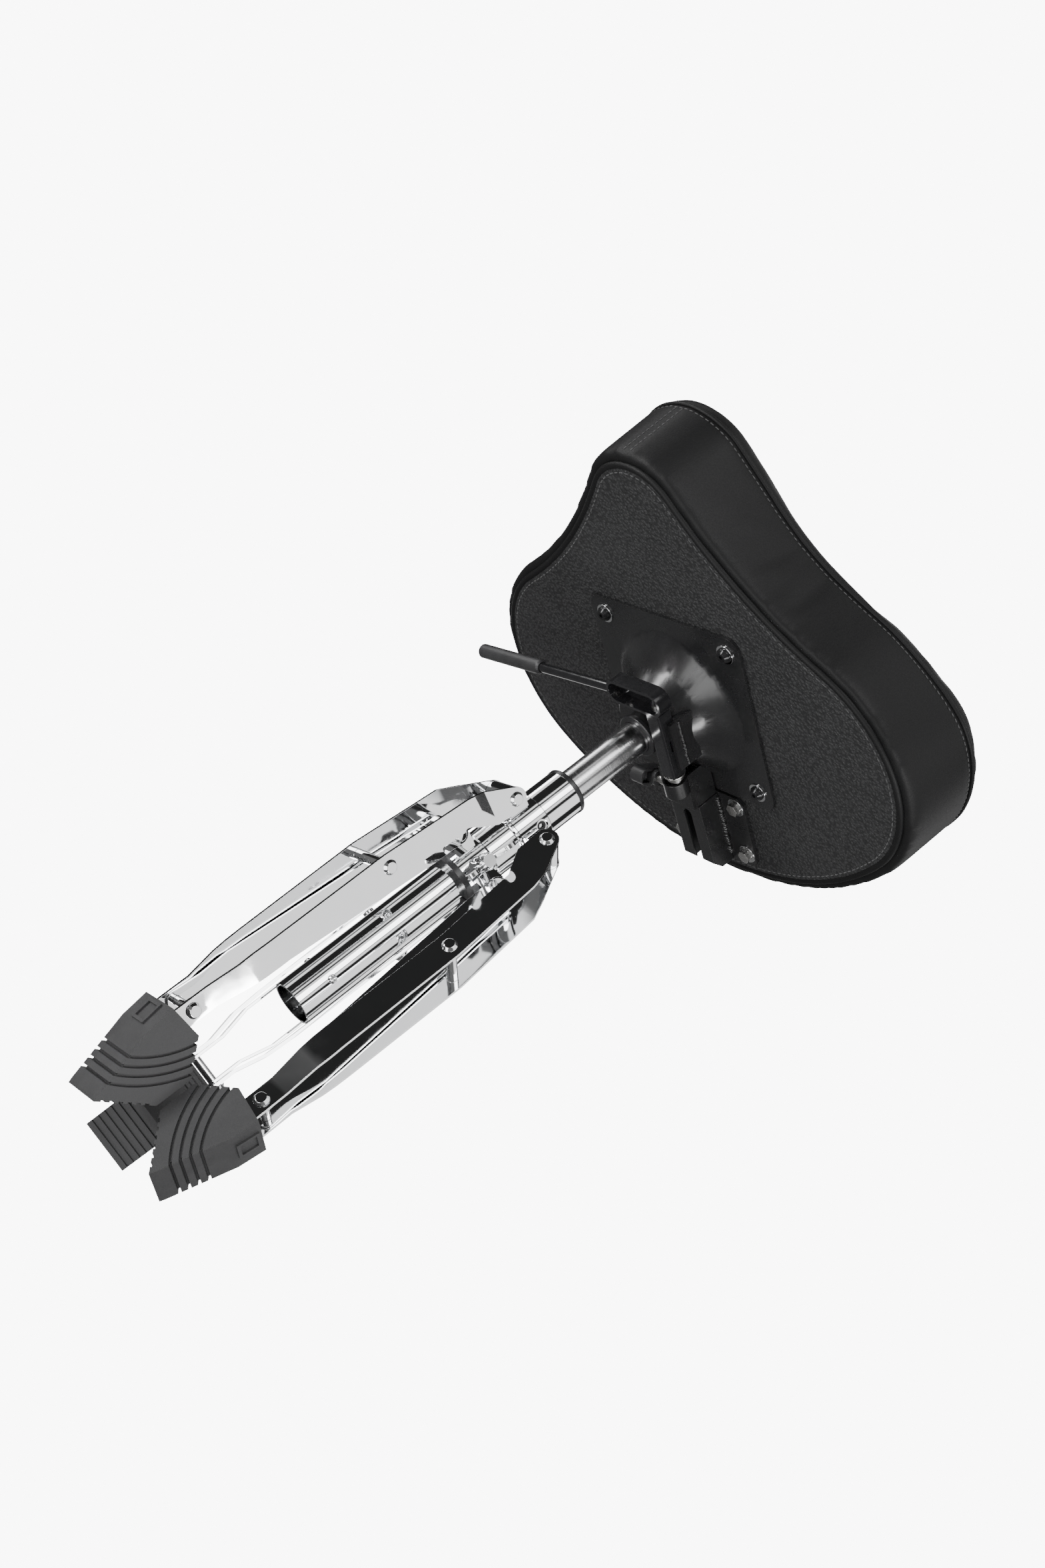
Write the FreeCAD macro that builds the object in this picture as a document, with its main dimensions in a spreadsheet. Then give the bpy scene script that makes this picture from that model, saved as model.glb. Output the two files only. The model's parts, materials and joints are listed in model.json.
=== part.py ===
"""Drum throne: gas-lift seat on a folding double-braced tripod, in millimetres.

The origin is on the floor under the middle of the seat, +Z runs up the column, +Y points to the
seat's nose and +X to the drummer's right, where the release lever is. The column stands behind the
middle of the seat; every sub-part is drawn about the column's axis and then moved back by
COLUMN_Y. The tripod is folded and the gas spring is fully out.
"""
import FreeCAD
import Part
import Sketcher
import math
import os
import re

doc = FreeCAD.newDocument("drum_throne")
sheet = doc.addObject("Spreadsheet::Sheet", "Sizes")

SIZES = {
    # column
    "tube_dia": 36.0, "tube_wall": 2.0, "tube_bottom": 158.0, "tube_top": 430.0,
    "sleeve_dia": 38.8, "sleeve_bottom": 401.5, "sleeve_top": 433.0,
    "bush_flange_dia": 39.6, "bush_flange": 4.5, "bush_length": 38.0,
    "shaft_dia": 28.0, "shaft_wall": 2.5, "shaft_bottom": 275.0, "shaft_top": 552.0,
    "rod_dia": 10.0, "piston_length": 12.0, "gland_length": 10.0,
    "holder_height": 12.0, "holder_bottom": 182.0, "thrust_height": 4.0,
    "run_gap": 0.05, "slide_gap": 0.1, "body_gap": 0.3,
    "valve_dia": 6.0, "valve_top": 558.0, "valve_length": 18.0,
    # hub and skirt
    "hub_dia": 41.4, "hub_bottom": 373.0, "lug_reach": 9.0, "lug_half": 12.9,
    "skirt_dia": 41.0, "skirt_bottom": 343.6, "lip_dia": 44.4, "lip_height": 4.0,
    "set_screw_dia": 8.0, "set_screw_azimuth": 169.0, "set_screw_height": 393.0,
    # legs, with the pivots given as radius from the axis and height
    "first_leg_azimuth": 201.0, "leg_pitch": 120.0,
    "pivot_reach": 31.0, "pivot_height": 384.5, "strap_thick": 2.6, "strap_half": 10.5,
    "top_half": 9.5, "foot_half": 8.5, "top_gap": 13.2, "flare_top": 19.6, "flare_gap": 20.4,
    "foot_gap": 12.7, "knee_reach": 49.0, "knee_height": 344.0, "knee_start": 362.0,
    "mid_reach": 54.0, "mid_height": 264.0, "spacer_dia": 9.0, "flare_end": 132.0,
    "foot_reach": 53.0, "foot_height": 90.0, "foot_taper": 106.0, "strap_end": 72.0,
    "rivet_dia": 7.0, "head_dia": 12.0, "head_height": 2.6,
    # braces and the sliding collar
    "collar_dia": 44.0, "collar_bottom": 315.0, "collar_top": 343.0, "collar_bush_wall": 1.2,
    "collar_lip": 5.0, "collar_lip_dia": 50.0, "lug_centre": 36.5, "lug_height": 328.5,
    "brace_thick": 2.3, "brace_half": 7.5, "brace_gap": 14.3, "brace_mid_gap": 15.6,
    "brace_foot_gap": 10.0, "brace_joggle": 300.0, "brace_taper": 130.0,
    "wing_azimuth": 147.0, "wing_thread": 8.0, "wing_boss": 34.0, "wing_span": 42.0,
    # boots, measured from the foot pivot
    "boot_half": 21.0, "boot_in": 15.0, "boot_in_drop": 7.0, "boot_out": 14.5,
    "boot_out_drop": 13.0, "tip_in": 6.0, "heel_reach": 14.0, "heel_drop": 27.0,
    "sole_angle": 44.0, "sole_length": 47.0, "groove_centre": 118.0, "groove_rise": 6.0,
    "groove_first": 85.5, "groove_pitch": 6.6, "groove_width": 2.2, "groove_depth": 1.6,
    "tread_pitch": 6.6, "tread_width": 2.8, "badge_size": 18.0, "badge_wall": 2.6, "badge_rise": 1.6,
    # seat plate and hub
    "seat_plane": 571.0, "plate_side": 168.0, "plate_thick": 3.0, "plate_round": 12.0,
    "screw_spacing": 136.5, "screw_dia": 6.0, "button_dia": 13.0, "washer_dia": 17.0,
    "washer_thick": 1.2, "button_height": 4.2, "dome_base": 70.0, "dome_top": 36.0,
    "dome_drop": 42.0, "seat_hub_dia": 35.0, "seat_hub_bottom": 519.0, "ring_dia": 38.0,
    "ring_height": 4.0,
    # cushion
    "seat_half": 229.0, "seat_nose": 228.0, "seat_rear": 184.0, "seat_thick": 89.0,
    "nose_radius": 59.0, "lobe_radius": 122.5, "lobe_back": 18.5, "flank_radius": 390.0,
    "edge_radius": 16.0, "panel_inset": 13.5, "panel_thick": 2.0, "board_inset": 22.0,
    "board_thick": 12.0, "tee_dia": 20.0, "tee_thick": 1.6,
    # release mechanism
    "barrel_x": -29.0, "barrel_height": 521.0, "barrel_dia": 14.5, "barrel_front": 32.0,
    "barrel_rear": 30.0, "release_dia": 8.0, "arm_y": 45.0, "arm_width": 22.0,
    "arm_rear": -34.0, "arm_front": 5.0, "arm_wall": 2.6, "arm_low": 10.0, "arm_high": 3.0,
    "arm_floor": 3.0, "lever_dia": 8.0, "lever_drop": 6.0, "lever_length": 106.0, "lever_sweep": 5.5, "grip_dia": 12.6, "grip_length": 84.0,
    "grip_overlap": 14.0, "finger_width": 8.0, "finger_thick": 3.0, "press_gap": 0.2,
    # backrest receiver
    "base_half": 46.0, "base_front": 86.0, "base_rear": 160.0, "base_thick": 4.0,
    "base_screw_x": 37.5, "base_screw_front": 95.5, "base_screw_rear": 146.5,
    "channel_half": 17.5, "channel_drop": 22.5, "channel_front": 88.0, "channel_rear": 160.0,
    "channel_wall": 2.8, "slot_width": 9.0, "slot_front": 101.0, "upper_front": 53.0,
    "upper_half": 16.5, "upper_drop": 27.0, "hex_dia": 12.0, "hex_height": 5.0,
    "knob_span": 34.0, "knob_width": 15.0, "knob_length": 14.0, "knob_back": 76.0,
    "knob_height": 547.0, "knob_turn": 58.0, "shank_dia": 8.0, "shank_show": 17.0,
}

for row, (alias, number) in enumerate(SIZES.items(), start=1):
    sheet.set("A%d" % row, alias)
    sheet.set("B%d" % row, "%g" % number)
    sheet.setAlias("B%d" % row, alias)
doc.recompute()

NAMES = re.compile(r"\b(%s)\b" % "|".join(SIZES))
NODES = []


def bound(text):
    """The expression with every size's name pointing into the sheet."""
    return NAMES.sub(r"Sizes.\1", text)


def value(text):
    """The number that an expression of sizes comes to."""
    return float(sheet.evalExpression(bound(text)))


def bind(thing, **expressions):
    for name, text in expressions.items():
        thing.setExpression(name, bound(text))
    return thing


def put(thing, x="0", y="0", z="0"):
    """Place a thing by three expressions."""
    for letter, text in zip("xyz", (x, y, z)):
        thing.setExpression("Placement.Base." + letter, bound(text))
    return thing


ALONG = {
    "x": FreeCAD.Rotation(FreeCAD.Vector(0, 1, 0), 90),
    "y": FreeCAD.Rotation(FreeCAD.Vector(1, 0, 0), -90),
    "z": FreeCAD.Rotation(),
}


def rod(radius, length, x="0", y="0", z="0", along="z"):
    """A cylinder that starts at a point and runs along one axis."""
    thing = bind(doc.addObject("Part::Cylinder", "rod"), Radius=radius, Height=length)
    thing.Placement = FreeCAD.Placement(FreeCAD.Vector(), ALONG[along])
    return put(thing, x, y, z)


def block(width, depth, height, x="0", y="0", z="0"):
    """A box from its lowest corner."""
    thing = doc.addObject("Part::Box", "block")
    return put(bind(thing, Length=width, Width=depth, Height=height), x, y, z)


def cone(low, high, length, x="0", y="0", z="0", along="z"):
    thing = bind(doc.addObject("Part::Cone", "cone"), Radius1=low, Radius2=high, Height=length)
    thing.Placement = FreeCAD.Placement(FreeCAD.Vector(), ALONG[along])
    return put(thing, x, y, z)


def tilted(thing, axis, angle):
    """Turn a thing about its own origin by an expression in degrees."""
    base = thing.Placement.Base
    thing.Placement = FreeCAD.Placement(base, FreeCAD.Rotation(FreeCAD.Vector(*axis), 10))
    thing.setExpression("Placement.Rotation.Angle", bound(angle))
    return thing


def fuse(*things):
    thing = doc.addObject("Part::MultiFuse", "fuse")
    thing.Shapes = list(things)
    return thing


def group(*things):
    """Separate solids kept in one node."""
    thing = doc.addObject("Part::Compound", "group")
    thing.Links = list(things)
    return thing


def cut(base, *tools):
    thing = doc.addObject("Part::Cut", "cut")
    thing.Base = base
    thing.Tool = tools[0] if len(tools) == 1 else fuse(*tools)
    return thing


def common(first, second):
    thing = doc.addObject("Part::Common", "common")
    thing.Base = first
    thing.Tool = second
    return thing


def mirrored(source, normal):
    """The mirror image of a thing in a plane through the origin."""
    thing = doc.addObject("Part::Mirroring", "mirror")
    thing.Source = source
    thing.Normal = FreeCAD.Vector(*normal)
    return thing


def around(thing, azimuth):
    """Turn a thing about the column's axis by an expression in degrees."""
    return tilted(fuse_one(thing), (0, 0, 1), azimuth)


def fuse_one(thing):
    """A wrapper that can be placed without moving the thing in it."""
    wrapper = doc.addObject("Part::Compound", "placed")
    wrapper.Links = [thing]
    return wrapper


def sketched(body, role, loops):
    """A sketch on one of the body's own planes, each corner held by two expressions."""
    sketch = body.newObject("Sketcher::SketchObject", "outline")
    plane = [item for item in body.Origin.OriginFeatures if item.Role == role][0]
    sketch.AttachmentSupport = [(plane, "")]
    sketch.MapMode = "FlatFace"
    for corners in loops:
        points = [FreeCAD.Vector(value(x), value(y), 0) for x, y in corners]
        lines = []
        for start, end in zip(points, points[1:] + points[:1]):
            lines.append(sketch.addGeometry(Part.LineSegment(start, end)))
        for line, following in zip(lines, lines[1:] + lines[:1]):
            sketch.addConstraint(Sketcher.Constraint("Coincident", line, 2, following, 1))
        for line, point, corner in zip(lines, points, corners):
            for kind, number, text in zip(("DistanceX", "DistanceY"), point, corner):
                hold = Sketcher.Constraint(kind, -1, 1, line, 1, number)
                index = sketch.addConstraint(hold)
                sketch.setExpression("Constraints[%d]" % index, bound(text))
    return sketch


def turned(corners):
    """A body turned about the column's axis, its half section given as radius and height."""
    body = doc.addObject("PartDesign::Body", "turned")
    sketch = sketched(body, "XZ_Plane", [corners])
    feature = body.newObject("PartDesign::Revolution", "turn")
    feature.Profile = sketch
    feature.ReferenceAxis = (sketch, ["V_Axis"])
    feature.Angle = 360
    return body


def plated(role, corners, thick, both=True):
    """A body padded from an outline, evenly to both sides of its plane unless told otherwise."""
    body = doc.addObject("PartDesign::Body", "plated")
    sketch = sketched(body, role, [corners])
    feature = body.newObject("PartDesign::Pad", "pad")
    feature.Profile = sketch
    feature.SideType = "Symmetric" if both else "One side"
    bind(feature, Length=thick)
    return body


COLUMN_Y = "(seat_rear - seat_nose)/2"


def node(label, thing):
    """Move a finished sub-part into the part's own frame, name it and keep it for writing."""
    placed = put(fuse_one(thing), y=COLUMN_Y)
    placed.Label = label
    NODES.append(placed)


# ---------------------------------------------------------------- column

long_tube = turned([
    ("tube_dia/2 - tube_wall", "tube_bottom"), ("tube_dia/2", "tube_bottom"),
    ("tube_dia/2", "tube_top"), ("tube_dia/2 - tube_wall", "tube_top")])
node("upper_tube", turned([
    ("tube_dia/2 + run_gap", "sleeve_bottom"), ("sleeve_dia/2", "sleeve_bottom"),
    ("sleeve_dia/2", "sleeve_top"), ("tube_dia/2 + run_gap", "sleeve_top")]))
node("shaft_bush", turned([
    ("shaft_dia/2 + slide_gap", "sleeve_top + bush_flange - bush_length"),
    ("tube_dia/2 - tube_wall - run_gap", "sleeve_top + bush_flange - bush_length"),
    ("tube_dia/2 - tube_wall - run_gap", "sleeve_top"),
    ("bush_flange_dia/2", "sleeve_top"), ("bush_flange_dia/2", "sleeve_top + bush_flange - 1"),
    ("bush_flange_dia/2 - 1", "sleeve_top + bush_flange"),
    ("shaft_dia/2 + slide_gap", "sleeve_top + bush_flange")]))

# the gas spring's cylinder: a gland at its lower end, a bored head at its upper end
node("gas_shaft", turned([
    ("rod_dia/2 + slide_gap", "shaft_bottom"), ("shaft_dia/2 - 1", "shaft_bottom"),
    ("shaft_dia/2", "shaft_bottom + 1"), ("shaft_dia/2", "shaft_top - 1"),
    ("shaft_dia/2 - 1", "shaft_top"), ("valve_dia/2 + slide_gap", "shaft_top"),
    ("valve_dia/2 + slide_gap", "shaft_top - gland_length"),
    ("shaft_dia/2 - shaft_wall", "shaft_top - gland_length"),
    ("shaft_dia/2 - shaft_wall", "shaft_bottom + gland_length"),
    ("rod_dia/2 + slide_gap", "shaft_bottom + gland_length")]))
node("valve_pin", rod("valve_dia/2", "valve_length", z="valve_top - valve_length"))
PISTON = "shaft_bottom + gland_length + 2"
node("piston_rod", fuse(
    rod("rod_dia/2", PISTON + " - holder_bottom", z="holder_bottom"),
    rod("shaft_dia/2 - shaft_wall - slide_gap", "piston_length", z=PISTON)))
node("thrust_washer", turned([
    ("rod_dia/2 + run_gap", "holder_bottom + holder_height"),
    ("tube_dia/2 - tube_wall - 3", "holder_bottom + holder_height"),
    ("tube_dia/2 - tube_wall - 3", "holder_bottom + holder_height + thrust_height"),
    ("rod_dia/2 + run_gap", "holder_bottom + holder_height + thrust_height")]))
HOLDER_SCREW = "holder_bottom + holder_height/2"
screw_bores = [around(rod("2.1", "tube_dia", x="rod_dia/2 + 3", z=HOLDER_SCREW, along="x"),
                      "wing_azimuth + 5 + %d" % turn) for turn in (0, 120, 240)]
node("rod_holder", cut(turned([
    ("rod_dia/2 + slide_gap", "holder_bottom"),
    ("tube_dia/2 - tube_wall - run_gap", "holder_bottom"),
    ("tube_dia/2 - tube_wall - run_gap", "holder_bottom + holder_height"),
    ("rod_dia/2 + slide_gap", "holder_bottom + holder_height")]), *screw_bores))
node("lower_tube", cut(long_tube, *screw_bores))
screws = []
for turn in (0, 120, 240):
    shank = rod("2", "tube_dia/2 - rod_dia/2 - 4", x="rod_dia/2 + 4", z=HOLDER_SCREW, along="x")
    head = cone("3.6", "2.2", "1.8", x="tube_dia/2 + 0.1", z=HOLDER_SCREW, along="x")
    cross = [block("2", "0.9", "4.4", x="tube_dia/2 + 0.9", y="-0.45", z=HOLDER_SCREW + " - 2.2"),
             block("2", "4.4", "0.9", x="tube_dia/2 + 0.9", y="-2.2", z=HOLDER_SCREW + " - 0.45")]
    screws.append(around(cut(fuse(shank, head), *cross), "wing_azimuth + 5 + %d" % turn))
node("tube_end_screws", group(*screws))

# ---------------------------------------------------------------- hub and skirt


def azimuth(number):
    return "first_leg_azimuth - %d * leg_pitch" % (number - 1)


def lug(reach, height, half, inner):
    """A lug with a rounded end, drilled for its pivot, standing out along +X."""
    arm = block(reach + " - " + inner, "2*(%s)" % half, "2*lug_reach", x=inner,
                y="-(%s)" % half, z=height + " - lug_reach")
    end = rod("lug_reach", "2*(%s)" % half, x=reach, y="-(%s)" % half, z=height, along="y")
    return fuse(arm, end)


hub_ring = turned([
    ("tube_dia/2 + run_gap", "hub_bottom"), ("hub_dia/2", "hub_bottom"),
    ("hub_dia/2", "sleeve_bottom - 1"), ("hub_dia/2 - 1", "sleeve_bottom"),
    ("tube_dia/2 + run_gap", "sleeve_bottom")])
hub_lugs = [around(lug("pivot_reach", "pivot_height", "lug_half", "hub_dia/2 - 2"), azimuth(n))
            for n in (1, 2, 3)]
hub_bores = [around(rod("rivet_dia/2 + slide_gap", "4*lug_half", x="pivot_reach",
                        y="-2*lug_half", z="pivot_height", along="y"), azimuth(n))
             for n in (1, 2, 3)]
recess = around(rod("set_screw_dia/2 + 1.5", "hub_dia", x="hub_dia/2 - 1.3",
                    z="set_screw_height", along="x"), "set_screw_azimuth")
screw_hole = around(rod("set_screw_dia/2", "hub_dia/2", x="tube_dia/2 - 1",
                        z="set_screw_height", along="x"), "set_screw_azimuth")
node("leg_hub", cut(fuse(hub_ring, *hub_lugs), *hub_bores, recess, screw_hole))
socket = bind(doc.addObject("Part::Prism", "hex"), Circumradius="set_screw_dia/4", Height="6")
socket.Polygon = 6
socket.Placement = FreeCAD.Placement(FreeCAD.Vector(), ALONG["x"])
put(socket, x="hub_dia/2 - 3.2", z="set_screw_height")
node("hub_set_screw", around(cut(rod("set_screw_dia/2 - run_gap", "hub_dia/2 - 1.6 - tube_dia/2",
                                     x="tube_dia/2 + run_gap", z="set_screw_height",
                                     along="x"), socket), "set_screw_azimuth"))
node("hub_skirt", turned([
    ("tube_dia/2 + run_gap", "skirt_bottom"), ("skirt_dia/2 - 0.8", "skirt_bottom"),
    ("skirt_dia/2", "skirt_bottom + 0.8"), ("skirt_dia/2", "hub_bottom - lip_height"),
    ("lip_dia/2 - 0.8", "hub_bottom - lip_height"), ("lip_dia/2", "hub_bottom - lip_height + 0.8"),
    ("lip_dia/2", "hub_bottom - 1.2"), ("lip_dia/2 - 1.2", "hub_bottom"),
    ("tube_dia/2 + run_gap", "hub_bottom")]))

# ---------------------------------------------------------------- collar

BUSH = "tube_dia/2 + slide_gap + collar_bush_wall"
collar_ring = turned([
    (BUSH, "collar_bottom"), ("collar_dia/2", "collar_bottom"),
    ("collar_dia/2", "collar_top - 1"), ("collar_dia/2 - 1", "collar_top"), (BUSH, "collar_top")])
collar_lugs = [around(lug("lug_centre", "lug_height", "brace_gap - body_gap",
                          "collar_dia/2 - 2"), azimuth(n)) for n in (1, 2, 3)]
WING_HEIGHT = "(collar_bottom + collar_top)/2"
wing_boss = around(rod("6.4", "wing_boss - tube_dia/2 - 3", x="tube_dia/2 + 3", z=WING_HEIGHT,
                       along="x"), "wing_azimuth")
wing_hole = around(rod("wing_thread/2", "wing_boss", x="tube_dia/2 - 2", z=WING_HEIGHT,
                       along="x"), "wing_azimuth")
core = rod(BUSH, "60", z="collar_bottom - 10")
node("lower_collar", cut(fuse(collar_ring, *collar_lugs, wing_boss), core, wing_hole))
node("collar_bush", cut(turned([
    ("tube_dia/2 + slide_gap", "collar_bottom - collar_lip"),
    ("collar_lip_dia/2", "collar_bottom - collar_lip"), ("collar_lip_dia/2", "collar_bottom"),
    (BUSH, "collar_bottom"), (BUSH, "collar_top - 2"),
    ("tube_dia/2 + slide_gap", "collar_top - 2")]),
    around(block("30", "3", "60", x="tube_dia/2 - 3", y="-1.5", z="collar_bottom - 10"),
           "wing_azimuth + 60"), wing_hole))
wing_parts = [
    rod("wing_thread/2 - run_gap", "wing_boss - tube_dia/2 + 2", x="tube_dia/2 + slide_gap",
        z=WING_HEIGHT, along="x"),
    rod("7", "8", x="wing_boss + 1.2", z=WING_HEIGHT, along="x"),
    cone("7", "5", "4", x="wing_boss + 9.2", z=WING_HEIGHT, along="x")]
for side in (1, -1):
    # each ear leans outwards from the boss and ends in a round lobe
    ear = plated("XZ_Plane", [
        ("wing_boss + 1.5", "%s + %d*3" % (WING_HEIGHT, side)),
        ("wing_boss + 9", "%s + %d*4" % (WING_HEIGHT, side)),
        ("wing_boss + 20", "%s + %d*(wing_span/2 - 3)" % (WING_HEIGHT, side)),
        ("wing_boss + 13", "%s + %d*wing_span/2" % (WING_HEIGHT, side))], "3.4")
    lobe = rod("4.6", "3.4", x="wing_boss + 16.5", y="-1.7",
               z="%s + %d*(wing_span/2 - 2.5)" % (WING_HEIGHT, side), along="y")
    wing_parts += [ear, lobe]
node("wing_bolt", around(fuse(*wing_parts), "wing_azimuth"))

# ---------------------------------------------------------------- legs, braces and boots


def strap_pair(side_view, discs, gaps, thick):
    """Two bent straps: a side view padded across, cut to the bends seen from the front."""
    slab = fuse(plated("XZ_Plane", side_view, "90"), *discs)
    inner = [(gap, height) for gap, height in gaps]
    outer = [("%s + %s" % (gap, thick), height) for gap, height in reversed(gaps)]
    bend = plated("YZ_Plane", inner + outer, "300")
    first = common(slab, bend)
    return first, mirrored(first, (0, 1, 0))


def across(radius, gap, thick, reach, height):
    """A cylinder that runs across both straps, out to their faces."""
    return rod(radius, "2*(%s + %s)" % (gap, thick), x=reach, y="-(%s + %s)" % (gap, thick),
               z=height, along="y")


def heads(gap, thick, reach, height):
    """The two domed heads of a rivet outside a pair of straps."""
    start = "%s + %s" % (gap, thick)
    first = cone("head_dia/2", "head_dia/2 - 1.8", "head_height", x=reach, y=start, z=height,
                 along="y")
    return [first, mirrored(first, (0, 1, 0))]


SOLE_X = "foot_reach - tip_in - sole_length*sin(sole_angle*1deg)"
SOLE_Z = "sole_length*cos(sole_angle*1deg)"
TIP_X = "foot_reach - tip_in"
# the foot pivot is held as high above the floor as the boot is deep under it
BOOT = [
    ("foot_reach - boot_in", "foot_height - boot_in_drop"),
    ("foot_reach + boot_out", "foot_height - boot_out_drop"),
    ("foot_reach + boot_out - 3", "foot_height - boot_out_drop - 22"),
    (TIP_X + " + 1.5", "3.5"),
    (TIP_X, "0"),
    (SOLE_X, SOLE_Z),
    ("heel_reach", "foot_height - heel_drop"),
]
CORE = [
    ("foot_reach - boot_in + groove_depth", "foot_height - boot_in_drop - groove_depth"),
    ("foot_reach + boot_out - groove_depth", "foot_height - boot_out_drop - groove_depth"),
    ("foot_reach + boot_out - 3 - groove_depth", "foot_height - boot_out_drop - 22"),
    (TIP_X + " - groove_depth + 0.5", "6"),
    (SOLE_X + " + groove_depth", SOLE_Z + " + groove_depth"),
    ("heel_reach + groove_depth", "foot_height - heel_drop - groove_depth/2"),
]


def boot():
    """A rubber boot: a wedge with curved grooves, a ribbed sole and sockets for the straps."""
    solid = plated("XZ_Plane", BOOT, "2*boot_half")
    middle = plated("XZ_Plane", CORE, "2*(boot_half - groove_depth)")
    rings = []
    for number in range(4):
        radius = "(groove_first + %d*groove_pitch)" % number
        place = {"x": "groove_centre", "y": "-boot_half - 1", "z": "foot_height + groove_rise",
                 "along": "y"}
        rings.append(cut(rod(radius + " + groove_width/2", "2*boot_half + 2", **place),
                         rod(radius + " - groove_width/2", "2*boot_half + 2", **place)))
    grooves = cut(fuse(*rings), middle)
    treads = []
    for number in range(1, 7):
        along = "(%d*tread_pitch)" % number
        tread = block("tread_width", "2*boot_half + 2", "2*groove_depth",
                      x="%s - (%s - tread_width/2)*sin(sole_angle*1deg)"
                        " - groove_depth*cos(sole_angle*1deg)" % (TIP_X, along),
                      y="-boot_half - 1",
                      z="(%s - tread_width/2)*cos(sole_angle*1deg)"
                        " - groove_depth*sin(sole_angle*1deg)" % along)
        treads.append(tilted(tread, (0, 1, 0), "sole_angle - 90"))
    sockets = []
    for side in (1, -1):
        slot = "foot_gap - 0.15" if side > 0 else "-foot_gap - strap_thick - 0.15"
        sockets.append(block("2*foot_half + 0.4", "strap_thick + 0.3", "60",
                             x="foot_reach - foot_half - 0.2", y=slot, z="strap_end"))
        sockets.append(rod("foot_half + 0.2", "strap_thick + 0.3", x="foot_reach", y=slot,
                           z="strap_end", along="y"))
    return cut(solid, grooves, *treads, *sockets)


def badge():
    """A blank square frame standing on the boot's outer face."""
    outer = block("badge_rise + 0.5", "badge_size", "badge_size", x="-0.5", y="-badge_size/2", z="-badge_size/2")
    inner = block("4", "badge_size - 2*badge_wall", "badge_size - 2*badge_wall", x="-1",
                  y="badge_wall - badge_size/2", z="badge_wall - badge_size/2")
    frame = tilted(fuse_one(cut(outer, inner)), (0, 1, 0), "asin(3/22)")
    return put(frame, x="foot_reach + boot_out - 1.5", z="foot_height - boot_out_drop - 11")


pivot_rivets = []
for leg in (1, 2, 3):
    turn = azimuth(leg)
    side_view = [
        ("pivot_reach - top_half", "pivot_height"), ("pivot_reach + top_half", "pivot_height + 2"),
        ("knee_reach + strap_half - 6", "knee_start - 2"),
        ("knee_reach + strap_half - 0.5", "knee_height"),
        ("mid_reach + strap_half", "mid_height"),
        ("foot_reach + strap_half", "flare_end + 12"),
        ("foot_reach + foot_half", "foot_taper"), ("foot_reach + foot_half", "strap_end"),
        ("foot_reach - foot_half", "strap_end"), ("foot_reach - foot_half", "foot_taper"),
        ("foot_reach - strap_half", "flare_end + 12"),
        ("mid_reach - strap_half", "mid_height"),
        ("knee_reach - strap_half - 0.5", "knee_height - 6"),
        ("pivot_reach - top_half + 1", "knee_start"),
    ]
    discs = [across("top_half", "flare_gap", "strap_thick", "pivot_reach", "pivot_height"),
             across("foot_half", "flare_gap", "strap_thick", "foot_reach", "strap_end")]
    gaps = [("top_gap", "pivot_height + 15"), ("top_gap", "knee_start"),
            ("flare_top", "knee_height"), ("flare_gap", "mid_height"),
            ("flare_gap - 1", "flare_end + 25"), ("flare_gap - 2.2", "flare_end"),
            ("foot_gap", "foot_taper"), ("foot_gap", "strap_end - 15")]
    pair = strap_pair(side_view, discs, gaps, "strap_thick")
    bores = [rod("rivet_dia/2 + slide_gap", "100", x=x, y="-50", z=z, along="y")
             for x, z in (("pivot_reach", "pivot_height"), ("foot_reach", "foot_height"))]
    bores.append(rod("rivet_dia/2 - 1", "100", x="mid_reach", y="-50", z="mid_height", along="y"))
    node("leg_%d_straps" % leg, around(group(*[cut(one, *bores) for one in pair]), turn))
    pivot_rivets.append(around(fuse(
        across("rivet_dia/2", "top_gap + 0.2", "strap_thick", "pivot_reach", "pivot_height"),
        *heads("top_gap + 0.2", "strap_thick", "pivot_reach", "pivot_height")), turn))
    node("leg_%d_spacer" % leg, around(fuse(
        rod("spacer_dia/2", "2*flare_gap - 0.6", x="mid_reach", y="-flare_gap + 0.3",
            z="mid_height", along="y"),
        across("rivet_dia/2 - 1.1", "flare_gap", "strap_thick", "mid_reach", "mid_height"),
        *heads("flare_gap", "strap_thick", "mid_reach", "mid_height")), turn))
    node("leg_%d_foot_rivet" % leg, around(fuse(
        across("rivet_dia/2", "foot_gap + 0.7", "strap_thick", "foot_reach", "foot_height"),
        *heads("foot_gap + 0.7", "strap_thick", "foot_reach", "foot_height")), turn))
    node("leg_%d_boot" % leg, around(fuse(boot(), badge()), turn))

    brace_view = [
        ("lug_centre - brace_half", "lug_height"), ("lug_centre + brace_half", "lug_height"),
        ("foot_reach + brace_half", "foot_height"), ("foot_reach - brace_half", "foot_height")]
    brace_discs = [
        across("brace_half", "flare_gap", "strap_thick", "lug_centre", "lug_height"),
        across("brace_half", "flare_gap", "strap_thick", "foot_reach", "foot_height")]
    brace_gaps = [
        ("brace_gap", "lug_height + 15"), ("brace_gap", "brace_joggle + 14"),
        ("brace_mid_gap", "brace_joggle"), ("brace_mid_gap", "brace_taper + 10"),
        ("brace_foot_gap", "foot_height + 24"), ("brace_foot_gap", "foot_height - 15")]
    braces = strap_pair(brace_view, brace_discs, brace_gaps, "brace_thick")
    foot_bore = rod("rivet_dia/2 + slide_gap", "100", x="foot_reach", y="-50", z="foot_height",
                    along="y")
    node("brace_%d_straps" % leg, around(group(*[cut(one, foot_bore) for one in braces]), turn))
    node("brace_%d_rivet_heads" % leg,
         around(group(*heads("brace_gap", "brace_thick", "lug_centre", "lug_height")), turn))
node("leg_pivot_rivets", group(*pivot_rivets))

# ---------------------------------------------------------------- seat plate and its screws


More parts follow.
